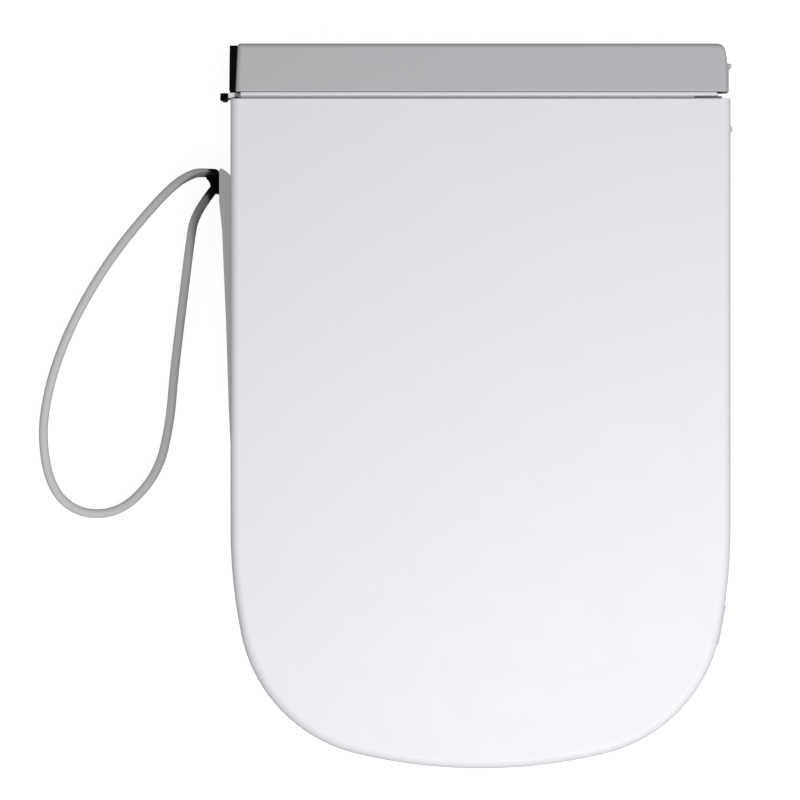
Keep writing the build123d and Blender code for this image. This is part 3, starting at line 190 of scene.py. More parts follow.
# ---------------------------------------------------------------- material tools
class Shade:
    """One material's node tree, with short calls for the nodes used most."""

    def __init__(self, name):
        self.mat = bpy.data.materials.new(name)
        self.mat.use_nodes = True
        self.tree = self.mat.node_tree
        self.tree.nodes.clear()
        self.out = self.add("ShaderNodeOutputMaterial")
        self.skin = self.add("ShaderNodeBsdfPrincipled")
        self.tree.links.new(self.skin.outputs["BSDF"], self.out.inputs["Surface"])
        self.place = self.add("ShaderNodeTexCoord").outputs["Object"]
        self.geometry = None

    def add(self, kind, settings=None, **values):
        node = self.tree.nodes.new(kind)
        for key, value in (settings or {}).items():
            setattr(node, key, value)
        for key, value in values.items():
            self.put(node.inputs[key.replace("_", " ")], value)
        return node

    def put(self, socket, value):
        if isinstance(value, bpy.types.NodeSocket):
            self.tree.links.new(value, socket)
        elif isinstance(value, (tuple, list)) and len(value) == 3 and socket.type == "RGBA":
            socket.default_value = (*value, 1.0)
        else:
            socket.default_value = value

    def surface(self, **values):
        for key, value in values.items():
            self.put(self.skin.inputs[key.replace("_", " ")], value)

    def spot(self, scale=(1, 1, 1), shift=(0, 0, 0), place=None):
        node = self.add("ShaderNodeMapping")
        self.put(node.inputs["Vector"], place or self.place)
        node.inputs["Scale"].default_value = scale
        node.inputs["Location"].default_value = shift
        return node.outputs["Vector"]

    def noise(self, scale, detail=2.0, rough=0.5, place=None, twist=0.0):
        node = self.add("ShaderNodeTexNoise", Scale=scale, Detail=detail, Roughness=rough, Distortion=twist)
        self.put(node.inputs["Vector"], place or self.place)
        return node.outputs["Fac"]

    def cells(self, scale, feature="F1", place=None, randomness=1.0, out="Distance"):
        node = self.add("ShaderNodeTexVoronoi", {"feature": feature}, Scale=scale, Randomness=randomness)
        self.put(node.inputs["Vector"], place or self.place)
        return node.outputs[out]

    def span(self, fac, low, high, a=0.0, b=1.0, smooth=True):
        node = self.add("ShaderNodeMapRange", {"interpolation_type": "SMOOTHSTEP" if smooth else "LINEAR"})
        for key, value in (("Value", fac), ("From Min", low), ("From Max", high), ("To Min", a), ("To Max", b)):
            self.put(node.inputs[key], value)
        return node.outputs["Result"]

    def mix(self, fac, a, b, how="MIX"):
        node = self.add("ShaderNodeMix", {"data_type": "RGBA", "blend_type": how})
        self.put(node.inputs[0], fac)
        self.put(node.inputs[6], a)
        self.put(node.inputs[7], b)
        return node.outputs[2]

    def math(self, how, a, b=0.0, c=None):
        node = self.add("ShaderNodeMath", {"operation": how})
        self.put(node.inputs[0], a)
        self.put(node.inputs[1], b)
        if c is not None:
            self.put(node.inputs[2], c)
        return node.outputs[0]

    def parts(self, vector=None):
        node = self.add("ShaderNodeSeparateXYZ")
        self.put(node.inputs[0], vector or self.place)
        return node.outputs[0], node.outputs[1], node.outputs[2]

    def bump(self, height, deep, strength=1.0, normal=None):
        node = self.add("ShaderNodeBump", Strength=strength, Distance=deep)
        self.put(node.inputs["Height"], height)
        if normal is not None:
            self.put(node.inputs["Normal"], normal)
        return node.outputs["Normal"]

    def soft_edges(self, radius, samples=4):
        """(normal rounded over the edges, mask that is 1 on an edge)."""
        node = self.add("ShaderNodeBevel", {"samples": samples}, Radius=radius)
        flat = self.add("ShaderNodeNewGeometry").outputs["Normal"]
        dot = self.add("ShaderNodeVectorMath", {"operation": "DOT_PRODUCT"})
        self.put(dot.inputs[0], node.outputs["Normal"])
        self.put(dot.inputs[1], flat)
        mask = self.span(dot.outputs["Value"], 0.995, 0.80, 0.0, 1.0)
        return node.outputs["Normal"], mask


def shaded(rgb, by):
    return tuple(min(1.0, c * by) for c in rgb)


def moulded(name, rgb, rough, grain=0.16, deep=0.012, edge=0.22, wear=1.06, level=0.5, seed=0.0, patch=0.012):
    """Moulded plastic: spark-worn grain, faint flow patches, polished edges, a few specks."""
    s = Shade(name)
    at = s.spot(shift=(seed, seed * 0.7, seed * 0.3))
    normal, rim = s.soft_edges(edge * MM)
    fine = s.noise(1.0 / (grain * MM), 2.0, 0.55, at)
    pits = s.cells(1.0 / (grain * 1.9 * MM), place=at)
    flow = s.noise(38.0, 3.0, 0.55, at, 0.6)
    haze = s.noise(210.0, 2.0, 0.5, at)
    specks = s.span(s.cells(620.0, place=at), 0.030, 0.016)
    rare = s.span(s.noise(95.0, 1.0, 0.5, at), 0.60, 0.66)
    speck = s.math("MULTIPLY", specks, rare)
    colour = s.mix(flow, shaded(rgb, 1 - patch), shaded(rgb, 1 + patch))
    colour = s.mix(s.math("MULTIPLY", haze, 0.10), colour, shaded(rgb, 0.97))
    colour = s.mix(s.math("MULTIPLY", rim, 0.35), colour, shaded(rgb, wear))
    colour = s.mix(s.math("MULTIPLY", speck, 0.30), colour, shaded(rgb, 0.72))
    gloss = s.span(haze, 0.25, 0.75, rough - 0.035, rough + 0.045)
    gloss = s.math("SUBTRACT", gloss, s.math("MULTIPLY", rim, 0.10))
    relief = s.math("ADD", s.math("MULTIPLY", fine, 0.6), s.math("MULTIPLY", pits, 0.4))
    s.surface(Base_Color=colour, Roughness=gloss, Normal=s.bump(relief, deep * MM, 0.8, normal))
    s.skin.inputs["Specular IOR Level"].default_value = level
    return s.mat


def metal(name, rgb, rough, way="z", line=0.06, deep=0.004, edge=0.12, stain=0.10, aniso=0.0, seed=0.0):
    """Plain metal, with drawn or brushed lines across one way, stains and bright edges."""
    s = Shade(name)
    long = {"x": (0.04, 1, 1), "y": (1, 0.04, 1), "z": (1, 1, 0.04), "around": (0.10, 0.10, 1)}[way]
    at = s.spot(scale=long, shift=(seed, seed, seed))
    normal, rim = s.soft_edges(edge * MM)
    lines = s.noise(1.0 / (line * MM), 3.0, 0.6, at)
    cloud = s.noise(160.0, 4.0, 0.6, s.spot(shift=(seed, 0, 0)))
    smear = s.noise(640.0, 2.0, 0.5)
    colour = s.mix(s.span(cloud, 0.35, 0.7), shaded(rgb, 1.04), shaded(rgb, 1 - stain))
    colour = s.mix(s.math("MULTIPLY", s.span(lines, 0.3, 0.7), 0.25), colour, shaded(rgb, 0.86))
    colour = s.mix(s.math("MULTIPLY", rim, 0.5), colour, shaded(rgb, 1.15))
    gloss = s.span(lines, 0.25, 0.75, rough - 0.06, rough + 0.08)
    gloss = s.math("ADD", gloss, s.span(smear, 0.45, 0.7, 0.0, 0.06))
    s.surface(Base_Color=colour, Roughness=gloss, Normal=s.bump(lines, deep * MM, 0.7, normal))
    s.skin.inputs["Metallic"].default_value = 1.0
    s.skin.inputs["Anisotropic"].default_value = aniso
    return s.mat


def screw_metal(name, rgb, rough):
    """Nickel plate: bright, faint turning rings, darker cloudy patches, bright edges."""
    s = Shade(name)
    normal, rim = s.soft_edges(0.07 * MM)
    rings = s.noise(9000.0, 2.0, 0.6, s.spot(scale=(1, 1, 0.3)))
    cloud = s.noise(700.0, 3.0, 0.55)
    colour = s.mix(s.span(cloud, 0.4, 0.7), shaded(rgb, 1.05), shaded(rgb, 0.84))
    colour = s.mix(s.math("MULTIPLY", rim, 0.5), colour, shaded(rgb, 1.18))
    gloss = s.span(cloud, 0.3, 0.75, rough - 0.05, rough + 0.10)
    s.surface(Base_Color=colour, Roughness=gloss, Normal=s.bump(rings, 0.003 * MM, 0.6, normal))
    s.skin.inputs["Metallic"].default_value = 1.0
    return s.mat


def rubber(name, rgb, rough, grain=0.22, deep=0.018, level=0.35):
    s = Shade(name)
    normal, rim = s.soft_edges(0.15 * MM)
    fine = s.noise(1.0 / (grain * MM), 3.0, 0.6)
    dust = s.noise(260.0, 4.0, 0.6)
    colour = s.mix(s.span(dust, 0.42, 0.72, 0.0, 0.4), rgb, tuple(min(1.0, c * 1.35 + 0.006) for c in rgb))
    colour = s.mix(s.math("MULTIPLY", rim, 0.4), colour, tuple(min(1.0, c * 1.25 + 0.006) for c in rgb))
    gloss = s.span(dust, 0.3, 0.7, rough - 0.05, rough + 0.07)
    s.surface(Base_Color=colour, Roughness=gloss, Normal=s.bump(fine, deep * MM, 0.8, normal))
    s.skin.inputs["Specular IOR Level"].default_value = level
    return s.mat


def strap_skin():
    """Smooth grey elastomer that runs into a black moulded root, with painted shade darkening the strands near the
    root.
    """
    s = Shade("strap_elastomer")
    gone = s.add("ShaderNodeAttribute", {"attribute_name": "from_root"}).outputs["Fac"]
    fine = s.noise(5200.0, 3.0, 0.6)
    cloud = s.noise(120.0, 3.0, 0.55)
    side = s.add("ShaderNodeAttribute", {"attribute_name": "shade_side"}).outputs["Fac"]
    grey = s.mix(cloud, (0.635, 0.630, 0.635), (0.680, 0.675, 0.680))
    # painted shade and painted dark reflection: the strands darken towards the root, further along one side of the
    # ribbon
    back = s.add("ShaderNodeAttribute", {"attribute_name": "way_back"}).outputs["Fac"]
    out_painted_shade = s.span(s.math("ADD", gone, s.math("MULTIPLY", side, 0.0046)), 0.0044, 0.0008, 0.0, 0.74)
    back_painted_shade = s.span(s.math("ADD", gone, s.math("MULTIPLY", side, 0.0030)), 0.0110, 0.0030, 0.0, 0.70)
    painted_shade = s.math("ADD", s.math("MULTIPLY", s.math("SUBTRACT", 1.0, back), out_painted_shade), s.math("MULTIPLY", back, back_painted_shade))
    # mix the painted shade into the grey of the strands
    colour = s.mix(painted_shade, grey, (0.10, 0.098, 0.099))
    root = s.span(s.math("ADD", gone, s.math("MULTIPLY", side, 0.0006)), 0.0019, 0.0008, 0.0, 1.0)
    colour = s.mix(root, colour, (0.0012, 0.0012, 0.0012))
    gloss = s.span(cloud, 0.3, 0.7, 0.36, 0.46)
    s.surface(Base_Color=colour, Roughness=gloss, Normal=s.bump(fine, 0.006 * MM, 0.7))
    s.skin.inputs["Specular IOR Level"].default_value = 0.16
    return s.mat


def acetal():
    s = Shade("acetal")
    normal, rim = s.soft_edges(0.10 * MM)
    fine = s.noise(3000.0, 2.0, 0.5)
    cloud = s.noise(300.0, 2.0, 0.5)
    grease = s.span(s.noise(420.0, 3.0, 0.6, s.spot(shift=(3, 1, 2))), 0.52, 0.64)
    colour = s.mix(cloud, (0.70, 0.68, 0.62), (0.77, 0.75, 0.69))
    colour = s.mix(s.math("MULTIPLY", grease, 0.25), colour, (0.60, 0.56, 0.46))
    colour = s.mix(s.math("MULTIPLY", rim, 0.4), colour, (0.84, 0.82, 0.78))
    gloss = s.math("SUBTRACT", s.span(cloud, 0.3, 0.7, 0.34, 0.44), s.math("MULTIPLY", grease, 0.14))
    s.surface(Base_Color=colour, Roughness=gloss, Normal=s.bump(fine, 0.004 * MM, 0.6, normal))
    s.skin.inputs["Subsurface Weight"].default_value = 0.12
    s.skin.inputs["Subsurface Scale"].default_value = 0.0008
    return s.mat


def ceramic():
    """Glazed plate: the glaze ridge, the fine conductors, and the line of print dots."""
    s = Shade("print_plate")
    x, y, z = s.parts()
    off = s.math("SUBTRACT", x, 31.5 * MM)
    away = s.math("ABSOLUTE", off)
    dots = s.span(away, 0.11 * MM, 0.07 * MM)
    ridge = s.span(away, 0.75 * MM, 0.25 * MM)
    comb = s.math("SINE", s.math("MULTIPLY", z, 2 * math.pi / (0.25 * MM)))
    fingers = s.math("MULTIPLY", s.span(comb, -0.2, 0.4), s.span(away, 2.6 * MM, 2.2 * MM))
    cloud = s.noise(500.0, 2.0, 0.5)
    colour = s.mix(cloud, (0.78, 0.76, 0.70), (0.84, 0.82, 0.77))
    colour = s.mix(s.math("MULTIPLY", fingers, 0.45), colour, (0.70, 0.60, 0.36))
    colour = s.mix(s.math("MULTIPLY", ridge, 0.35), colour, (0.58, 0.57, 0.55))
    colour = s.mix(dots, colour, (0.05, 0.04, 0.035))
    s.surface(
        Base_Color=colour,
        Roughness=s.span(cloud, 0.3, 0.7, 0.14, 0.24),
        Normal=s.bump(s.math("ADD", ridge, s.math("MULTIPLY", fingers, 0.15)), 0.03 * MM, 0.6),
    )
    s.skin.inputs["Coat Weight"].default_value = 0.5
    s.skin.inputs["Coat Roughness"].default_value = 0.08
    return s.mat


def platen_skin():
    """Ground silicone: fine rings round the roller, a paper-dust band where labels run."""
    s = Shade("platen_skin")
    x, y, z = s.parts()
    rings = s.noise(1.0 / (0.05 * MM), 2.0, 0.6, s.spot(scale=(0.05, 0.05, 1)))
    dust = s.noise(900.0, 4.0, 0.65)
    band = s.math("MULTIPLY", s.span(z, 7.0 * MM, 8.2 * MM), s.span(z, 30.0 * MM, 28.8 * MM))
    powder = s.math("MULTIPLY", band, s.span(dust, 0.45, 0.75, 0.0, 0.14))
    colour = s.mix(s.span(rings, 0.3, 0.7), (0.045, 0.045, 0.048), (0.062, 0.062, 0.065))
    colour = s.mix(powder, colour, (0.42, 0.41, 0.40))
    s.surface(Base_Color=colour, Roughness=s.span(dust, 0.3, 0.7, 0.62, 0.78), Normal=s.bump(rings, 0.012 * MM, 0.8))
    s.skin.inputs["Specular IOR Level"].default_value = 0.35
    return s.mat


def core_skin():
    """Spirally wound board tube: fibres, darker blots, one spiral seam."""
    s = Shade("core_board_skin")
    x, y, z = s.parts(s.spot(shift=(13.5 * MM, -25.0 * MM, 0)))
    turn = s.math("ARCTAN2", y, x)
    spiral = s.math("FRACT", s.math("ADD", s.math("MULTIPLY", z, 1 / (22 * MM)), s.math("MULTIPLY", turn, 1 / (2 * math.pi))))
    seam = s.span(s.math("ABSOLUTE", s.math("SUBTRACT", spiral, 0.5)), 0.012, 0.004)
    fibre = s.noise(2400.0, 4.0, 0.65, s.spot(scale=(1, 1, 0.25)))
    blot = s.noise(420.0, 3.0, 0.6)
    colour = s.mix(fibre, (0.40, 0.31, 0.20), (0.56, 0.46, 0.32))
    colour = s.mix(s.span(blot, 0.5, 0.75, 0.0, 0.35), colour, (0.34, 0.26, 0.17))
    colour = s.mix(s.math("MULTIPLY", seam, 0.6), colour, (0.22, 0.16, 0.10))
    relief = s.math("SUBTRACT", s.math("MULTIPLY", fibre, 0.5), seam)
    s.surface(Base_Color=colour, Roughness=s.span(fibre, 0.2, 0.8, 0.80, 0.92), Normal=s.bump(relief, 0.05 * MM, 0.8))
    s.skin.inputs["Specular IOR Level"].default_value = 0.25
    return s.mat


def paper(name, rgb, rough=0.62, tint=(0.90, 0.88, 0.82)):
    s = Shade(name)
    fibre = s.noise(3600.0, 5.0, 0.65)
    blot = s.noise(260.0, 3.0, 0.55)
    colour = s.mix(s.span(fibre, 0.3, 0.75, 0.0, 0.5), rgb, shaded(rgb, 0.95))
    colour = s.mix(s.span(blot, 0.45, 0.8, 0.0, 0.35), colour, tint)
    s.surface(Base_Color=colour, Roughness=s.span(fibre, 0.2, 0.8, rough - 0.05, rough + 0.08), Normal=s.bump(fibre, 0.010 * MM, 0.7))
    s.skin.inputs["Specular IOR Level"].default_value = 0.35
    return s.mat


def wound_edges():
    """The ends of the roll: thin turns of label and liner, slightly uneven in tone."""
    s = Shade("wound_edges")
    x, y, z = s.parts(s.spot(shift=(13.5 * MM, -25.0 * MM, 0)))
    radius = s.math("SQRT", s.math("ADD", s.math("MULTIPLY", x, x), s.math("MULTIPLY", y, y)))
    turn = s.math("MULTIPLY", s.math("ARCTAN2", y, x), 1 / (2 * math.pi))
    wound = s.math("ADD", s.math("MULTIPLY", radius, 1 / (0.155 * MM)), turn)
    layer = s.math("FRACT", wound)
    liner = s.span(layer, 0.50, 0.62)
    number = s.math("FLOOR", wound)
    pick = s.add("ShaderNodeTexWhiteNoise", {"noise_dimensions": "1D"})
    s.put(pick.inputs["W"], number)
    gap = s.noise(190.0, 2.0, 0.5)
    colour = s.mix(liner, (0.88, 0.87, 0.84), (0.70, 0.62, 0.40))
    colour = s.mix(s.math("MULTIPLY", pick.outputs["Value"], 0.22), colour, (0.62, 0.58, 0.48))
    colour = s.mix(s.span(gap, 0.5, 0.7, 0.0, 0.18), colour, (0.95, 0.94, 0.92))
    groove = s.span(s.math("ABSOLUTE", s.math("SUBTRACT", layer, 0.5)), 0.34, 0.5)
    relief = s.math("SUBTRACT", s.math("MULTIPLY", pick.outputs["Value"], 0.7), groove)
    s.surface(Base_Color=colour, Roughness=s.span(gap, 0.2, 0.8, 0.70, 0.80), Normal=s.bump(relief, 0.035 * MM, 0.7))
    s.skin.inputs["Specular IOR Level"].default_value = 0.3
    return s.mat


def board_skin():
    """Green solder mask over copper runs, with a few tinned holes."""
    s = Shade("board_mask")
    normal, rim = s.soft_edges(0.08 * MM)
    x, y, z = s.parts()
    lanes_a = s.math("SINE", s.math("MULTIPLY", s.math("ADD", x, s.math("MULTIPLY", s.noise(40.0, 0.0), 0.010)), 2 * math.pi / (1.27 * MM)))
    lanes_b = s.math("SINE", s.math("MULTIPLY", s.math("ADD", y, s.math("MULTIPLY", s.noise(31.0, 0.0), 0.012)), 2 * math.pi / (1.6 * MM)))
    where = s.span(s.noise(70.0, 0.0, 0.5), 0.47, 0.49)
    runs = s.math("ADD", s.math("MULTIPLY", s.span(lanes_a, 0.35, 0.5), where), s.math("MULTIPLY", s.span(lanes_b, 0.45, 0.6), s.math("SUBTRACT", 1.0, where)))
    vias = s.cells(420.0, randomness=0.9)
    ring = s.span(vias, 0.11, 0.09)
    # painted shade: each via's centre is painted near-black for the shade inside the open drill hole
    painted_hole_shade = s.span(vias, 0.05, 0.04)
    colour = s.mix(runs, (0.012, 0.10, 0.045), (0.025, 0.19, 0.085))
    colour = s.mix(s.math("MULTIPLY", ring, 0.8), colour, (0.62, 0.60, 0.52))
    colour = s.mix(painted_hole_shade, colour, (0.02, 0.03, 0.02))
    colour = s.mix(s.math("MULTIPLY", rim, 0.5), colour, (0.32, 0.30, 0.16))
    relief = s.math("SUBTRACT", s.math("ADD", runs, ring), s.math("MULTIPLY", painted_hole_shade, 2.0))
    s.surface(Base_Color=colour, Roughness=s.span(s.noise(800.0), 0.3, 0.7, 0.24, 0.34), Normal=s.bump(relief, 0.03 * MM, 0.7, normal))
    s.skin.inputs["Coat Weight"].default_value = 0.3
    s.skin.inputs["Coat Roughness"].default_value = 0.15
    return s.mat


def film_skin():
    """Shrink film over the cell: gloss, tight creases, paler folded ends."""
    s = Shade("cell_film")
    normal, rim = s.soft_edges(0.3 * MM)
    x, y, z = s.parts()
    crease = s.noise(330.0, 4.0, 0.62, s.spot(scale=(1, 0.3, 1)), 1.2)
    fold = s.span(s.math("ABSOLUTE", x), 24.2 * MM, 25.4 * MM)
    colour = s.mix(s.span(crease, 0.35, 0.7), (0.022, 0.06, 0.20), (0.034, 0.085, 0.26))
    colour = s.mix(s.math("MULTIPLY", fold, 0.55), colour, (0.16, 0.21, 0.36))
    colour = s.mix(s.math("MULTIPLY", rim, 0.3), colour, (0.22, 0.28, 0.42))
    s.surface(Base_Color=colour, Roughness=s.span(crease, 0.3, 0.7, 0.22, 0.34), Normal=s.bump(crease, 0.10 * MM, 0.55, normal))
    s.skin.inputs["Coat Weight"].default_value = 0.4
    s.skin.inputs["Coat Roughness"].default_value = 0.12
    return s.mat


def foam_skin():
    s = Shade("foam_cells")
    pores = s.cells(2600.0)
    blot = s.noise(300.0, 3.0)
    colour = s.mix(s.span(pores, 0.1, 0.6), (0.07, 0.07, 0.07), (0.17, 0.17, 0.17))
    colour = s.mix(s.span(blot, 0.4, 0.7, 0.0, 0.3), colour, (0.22, 0.22, 0.21))
    s.surface(Base_Color=colour, Roughness=s.span(pores, 0.0, 0.6, 0.95, 0.85), Normal=s.bump(pores, 0.12 * MM, 0.9))
    s.skin.inputs["Specular IOR Level"].default_value = 0.2
    return s.mat


def spangled(name, rgb, rough):
    """Tin plate with faint crystal patches."""
    s = Shade(name)
    normal, rim = s.soft_edges(0.12 * MM)
    node = s.add("ShaderNodeTexVoronoi", Scale=900.0)
    s.put(node.inputs["Vector"], s.place)
    tone = s.parts(node.outputs["Color"])[0]
    scuff = s.noise(2600.0, 3.0, 0.6, s.spot(scale=(1, 0.08, 1)))
    colour = s.mix(tone, shaded(rgb, 0.86), shaded(rgb, 1.06))
    colour = s.mix(s.math("MULTIPLY", rim, 0.5), colour, shaded(rgb, 1.2))
    gloss = s.math("ADD", s.span(tone, 0.0, 1.0, rough - 0.05, rough + 0.07), s.span(scuff, 0.5, 0.7, 0.0, 0.10))
    s.surface(Base_Color=colour, Roughness=gloss, Normal=s.bump(scuff, 0.003 * MM, 0.6, normal))
    s.skin.inputs["Metallic"].default_value = 1.0
    return s.mat


WHITE = (0.800, 0.797, 0.815)
GREY = (0.480, 0.476, 0.486)
SLOT_MAT = {
    "body_white": moulded("casing_white", WHITE, 0.42, grain=0.15, deep=0.010),
    "lid_grey": moulded("lid_grey_skin", GREY, 0.44, grain=0.15, deep=0.011, wear=1.10, seed=1.0),
    "frame_white": moulded("inner_white", (0.765, 0.765, 0.775), 0.36, grain=0.30, deep=0.008, seed=2.0, patch=0.02),
    "black_plastic": moulded("black_skin", (0.0010, 0.0010, 0.0011), 0.55, grain=0.18, deep=0.012, wear=1.6, level=0.05, seed=3.0),
    "strap_end_black": rubber("black_elastomer", (0.0009, 0.0009, 0.0009), 0.66, level=0.02),
    "grey_gear": acetal(),
    "steel": metal("plain_steel", (0.56, 0.56, 0.57), 0.32, way="z", line=0.07),
    "plated_screw": screw_metal("nickel_plate", (0.72, 0.70, 0.67), 0.22),
    "spring_steel": metal("spring_wire", (0.46, 0.46, 0.48), 0.28, way="x", line=0.04, deep=0.003),
    "heat_sink": metal("sawn_aluminium", (0.70, 0.71, 0.73), 0.36, way="z", line=0.05, deep=0.008),
    "print_ceramic": ceramic(),
    "platen_rubber": platen_skin(),
    "label_paper": paper("label_face", (0.90, 0.90, 0.895)),
    "core_board": core_skin(),
    "circuit_green": board_skin(),
    "port_steel": metal("port_shell", (0.66, 0.66, 0.68), 0.26, way="x", line=0.06, deep=0.003),
    "shield_tin": spangled("tin_plate", (0.70, 0.70, 0.70), 0.30),
    "connector_ivory": moulded("ivory_nylon", (0.74, 0.70, 0.58), 0.34, grain=0.22, deep=0.006, seed=4.0),
    "cell_blue": film_skin(),
    "foam_tape": foam_skin(),
    "lead_black": rubber("wire_sheath", (0.018, 0.018, 0.019), 0.42, grain=0.3, deep=0.010, level=0.4),
    "strap_grey": strap_skin(),
}
NODE_SLOT = {s["node"]: s["material_slot"] for s in frame["record"]["subparts"]}
OWN = {
    "hinge_pin": metal("turned_pin", (0.60, 0.60, 0.61), 0.24, way="around", line=0.05, deep=0.003, seed=5.0),
    "tear_bar": metal("blade_steel", (0.33, 0.33, 0.34), 0.30, way="z", line=0.04, deep=0.005, stain=0.22, seed=6.0),
    "mechanism_frame": spangled("galvanised_plate", (0.62, 0.63, 0.64), 0.38),
    "motor_body": metal("motor_can", (0.60, 0.60, 0.60), 0.30, way="around", line=0.08, deep=0.004, seed=7.0),
    "gap_sensor": moulded("sensor_black", (0.012, 0.011, 0.013), 0.24, grain=0.4, deep=0.003, level=0.5, seed=8.0),
    "board_chips": moulded("epoxy_black", (0.020, 0.020, 0.021), 0.55, grain=0.09, deep=0.010, level=0.4, seed=9.0),
}
for name, obj in nodes.items():
    material = OWN.get(name) or SLOT_MAT[NODE_SLOT[name]]
    for place in obj.material_slots:
        place.material = material

ribbon.data.materials.append(SLOT_MAT["strap_grey"])


# ---------------------------------------------------------------- strap root
# The moulded black end where the two strands meet, with hollow flanks, in place
# of the plain block of the frame.
def make_root():
    import bmesh

    outline = [
        (-39.78, 35.25), (-40.42, 35.25), (-40.42, 36.30), (-40.70, 36.62), (-41.40, 36.72),
        (-42.10, 36.66), (-42.45, 36.30), (-42.52, 35.70), (-42.38, 35.18), (-42.08, 34.86),
        (-41.86, 34.48), (-41.78, 34.08), (-41.86, 33.70), (-42.08, 33.34), (-42.42, 32.95),
        (-42.70, 32.46), (-42.50, 32.02), (-42.14, 31.72), (-41.70, 32.18), (-41.28, 32.58),
        (-40.86, 32.86), (-40.42, 32.72), (-39.78, 32.66),
    ]
    bm = bmesh.new()
    low = [bm.verts.new((x * MM, y * MM, 3.54 * MM)) for x, y in outline]
    base = bm.faces.new(low)
    lifted = bmesh.ops.extrude_face_region(bm, geom=[base])
    top = [v for v in lifted["geom"] if isinstance(v, bmesh.types.BMVert)]
    bmesh.ops.translate(bm, verts=top, vec=(0, 0, 3.50 * MM))
    rims = [e for e in bm.edges if abs(e.verts[0].co.z - e.verts[1].co.z) < 1e-7]
    bmesh.ops.bevel(bm, geom=rims, offset=0.22 * MM, segments=3, profile=0.5, affect="EDGES", clamp_overlap=True)
    bmesh.ops.triangulate(bm, faces=[f for f in bm.faces if len(f.verts) > 4])
    bmesh.ops.recalc_face_normals(bm, faces=bm.faces)
    mesh = bpy.data.meshes.new("strap_root")
    bm.to_mesh(mesh)
    bm.free()
    return finished_object("strap_root", mesh, False)


strap_root = make_root()
strap_root.data.materials.append(SLOT_MAT["strap_end_black"])
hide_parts("strap_collar")
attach(strap_root, "casing")


# ---------------------------------------------------------------- label roll
# Wound labels in place of the plain roll: uneven turns at both ends, and the
# outer turn with its die-cut labels on the liner, in mesh.
ROLL_X, ROLL_Y = -13.5, 25.0
ROLL_Z0, ROLL_Z1 = 6.0, 31.0
ROLL_R, BORE_R = 18.0, 6.52


def make_roll():
    pick = random.Random(21)
    count = 144
    radii = []
    r = BORE_R
    while r < 17.72:
        step = pick.uniform(0.30, 0.42)
        radii.append((r, min(r + step, 17.80)))
        r += step
    radii[-1] = (radii[-1][0], 17.80)
    profile = [(BORE_R, ROLL_Z0 + 0.12, 0)]
    low = [pick.uniform(0.02, 0.13) for _ in radii]
    high = [pick.uniform(0.02, 0.13) for _ in radii]
    for (a, b), lift in zip(radii, low):
        profile += [(a, ROLL_Z0 + lift, 0), (b, ROLL_Z0 + lift, 0)]
    for (a, b), lift in zip(reversed(radii), reversed(high)):
        profile += [(b, ROLL_Z1 - lift, 1), (a, ROLL_Z1 - lift, 0)]
    profile.append((BORE_R, ROLL_Z1 - 0.12, 0))
    verts, faces, kinds = [], [], []
    for k in range(count):
        a = 2 * math.pi * k / count
        for radius, z, _ in profile:
            verts.append(((ROLL_X + radius * math.cos(a)) * MM, (ROLL_Y + radius * math.sin(a)) * MM, z * MM))
    n = len(profile)
    for k in range(count):
        o, p = k * n, ((k + 1) % count) * n
        for i in range(n):
            j = (i + 1) % n
            if math.dist(profile[i][:2], profile[j][:2]) < 1e-6:
                continue
            faces.append((o + i, o + j, p + j, p + i))
            outer = profile[i][0] > 17.7 and profile[j][0] > 17.7 and abs(profile[i][1] - profile[j][1]) > 10
            kinds.append(1 if outer else 0)
    mesh = bpy.data.meshes.new("roll_turns")
    mesh.from_pydata(verts, [], faces)
    mesh.materials.append(wound_edges())
    mesh.materials.append(paper("liner_face", (0.80, 0.74, 0.56), 0.40, (0.74, 0.67, 0.47)))
    mesh.polygons.foreach_set("material_index", kinds)
    obj = finished_object("roll_turns", mesh, False)
    for face in mesh.polygons:
        face.use_smooth = face.material_index == 1
    return obj


def wrapped_pad(name, start, sweep, z0, z1, r0, r1, corner, edge):
    """A rounded rectangle laid round the roll, with a softened rim."""
    import bmesh

    wide = math.radians(sweep) * r0
    outline = []
    for sx, sy, turn in ((1, 1, 0), (-1, 1, 90), (-1, -1, 180), (1, -1, 270)):
        cx = wide / 2 + sx * (wide / 2 - corner)
        cy = (z0 + z1) / 2 + sy * ((z1 - z0) / 2 - corner)
        for k in range(7):
            a = math.radians(turn + 15.0 * k)
            outline.append((cx + corner * math.cos(a), cy + corner * math.sin(a)))
    bm = bmesh.new()
    steps = 46
    grid = {}
    xs = [wide * i / steps for i in range(steps + 1)]
    for i, x in enumerate(xs):
        inset = 0.0
        if x < corner:
            inset = corner - math.sqrt(max(corner**2 - (corner - x) ** 2, 0))
        if x > wide - corner:
            inset = corner - math.sqrt(max(corner**2 - (x - wide + corner) ** 2, 0))
        for j, (z, r) in enumerate(
            [
                (z0 + inset, r0),
                (z0 + inset, r1 - edge),
                (z0 + inset + edge, r1),
                (z1 - inset - edge, r1),
                (z1 - inset, r1 - edge),
                (z1 - inset, r0),
            ]
        ):
            if i in (0, steps):
                r = min(r, r0 + 0.002)
            a = math.radians(start) + x / r0
            grid[i, j] = bm.verts.new(((ROLL_X + r * math.cos(a)) * MM, (ROLL_Y + r * math.sin(a)) * MM, z * MM))
    for i in range(steps):
        for j in range(5):
            bm.faces.new((grid[i, j], grid[i + 1, j], grid[i + 1, j + 1], grid[i, j + 1]))
        bm.faces.new((grid[i, 5], grid[i + 1, 5], grid[i + 1, 0], grid[i, 0]))
    bm.faces.new([grid[0, j] for j in range(6)])
    bm.faces.new([grid[steps, j] for j in reversed(range(6))])
    bmesh.ops.recalc_face_normals(bm, faces=bm.faces)
    mesh = bpy.data.meshes.new(name)
    bm.to_mesh(mesh)
    bm.free()
    return finished_object(name, mesh, True)


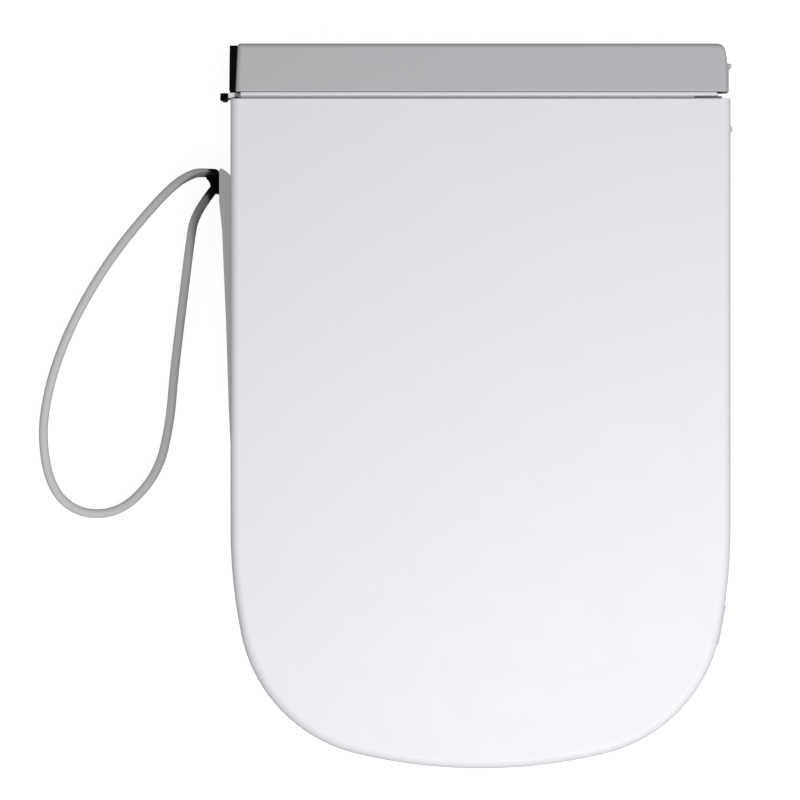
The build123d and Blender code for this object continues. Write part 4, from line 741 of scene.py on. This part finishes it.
turns = make_roll()
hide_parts("label_roll")
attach(turns, "roll")
LABEL_LEN = 96.0
for k, start in enumerate((14.0, 113.0, 212.0)):
    pad = wrapped_pad("die_cut_label_%d" % (k + 1), start, LABEL_LEN, 7.1, 29.9, 17.80, 17.92, 1.6, 0.03)
    pad.data.materials.append(SLOT_MAT["label_paper"])
    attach(pad, "roll")

# ---------------------------------------------------------------- floor and light
FLOOR_HALF = 3.0


def make_floor():
    mesh = bpy.data.meshes.new("floor")
    h = FLOOR_HALF
    mesh.from_pydata([(-h, -h, 0), (h, -h, 0), (h, h, 0), (-h, h, 0)], [], [(0, 1, 2, 3)])
    obj = bpy.data.objects.new("floor", mesh)
    obj.location = (0, 0, -0.02 * MM)
    scene.collection.objects.link(obj)
    s = Shade("pale_sweep")
    s.surface(Roughness=0.9)
    s.skin.inputs["Base Color"].default_value = (0.32, 0.32, 0.325, 1)
    s.skin.inputs["Specular IOR Level"].default_value = 0.0
    s.skin.inputs["Emission Color"].default_value = (1.0, 1.0, 1.0, 1)
    s.skin.inputs["Emission Strength"].default_value = 0.90
    mesh.materials.append(s.mat)
    # the sweep's own glow stays on the sweep, so that the sides of the object
    # are lit as over a grey table
    only = bpy.data.collections.new("lit_by_floor")
    only.objects.link(obj)
    obj.light_linking.receiver_collection = only
    return obj


floor = make_floor()


def soft_light(name, place, target, size, watts, colour=(1, 1, 1)):
    data = bpy.data.lights.new(name, "AREA")
    data.shape = "SQUARE"
    data.size = size
    data.energy = watts
    data.color = colour
    obj = bpy.data.objects.new(name, data)
    obj.location = place
    obj.rotation_euler = (Vector(target) - Vector(place)).to_track_quat("-Z", "Y").to_euler()
    obj.visible_camera = False
    scene.collection.objects.link(obj)
    return obj


soft_light("key", (0.060, -0.105, 0.30), (0.05, -0.09, 0.03), 0.18, 0.475, (1.045, 1.0, 1.07))

world = bpy.data.worlds.new("studio")
scene.world = world
world.use_nodes = True
tree = world.node_tree
tree.nodes.clear()
w_out = tree.nodes.new("ShaderNodeOutputWorld")
w_back = tree.nodes.new("ShaderNodeBackground")
w_place = tree.nodes.new("ShaderNodeTexCoord")
w_dot = tree.nodes.new("ShaderNodeVectorMath")
w_dot.operation = "DOT_PRODUCT"
w_dot.inputs[1].default_value = (0.76, -0.55, 0.05)
w_span = tree.nodes.new("ShaderNodeMapRange")
w_span.inputs["From Min"].default_value = -1.0
w_span.inputs["From Max"].default_value = 1.0
w_span.inputs["To Min"].default_value = 0.28
w_span.inputs["To Max"].default_value = 0.76
tree.links.new(w_place.outputs["Generated"], w_dot.inputs[0])
tree.links.new(w_dot.outputs["Value"], w_span.inputs["Value"])
tree.links.new(w_span.outputs["Result"], w_back.inputs["Strength"])
w_back.inputs["Color"].default_value = (0.985, 1.0, 0.99, 1)
tree.links.new(w_back.outputs["Background"], w_out.inputs["Surface"])

scene.view_settings.view_transform = "Standard"
scene.view_settings.look = "None"
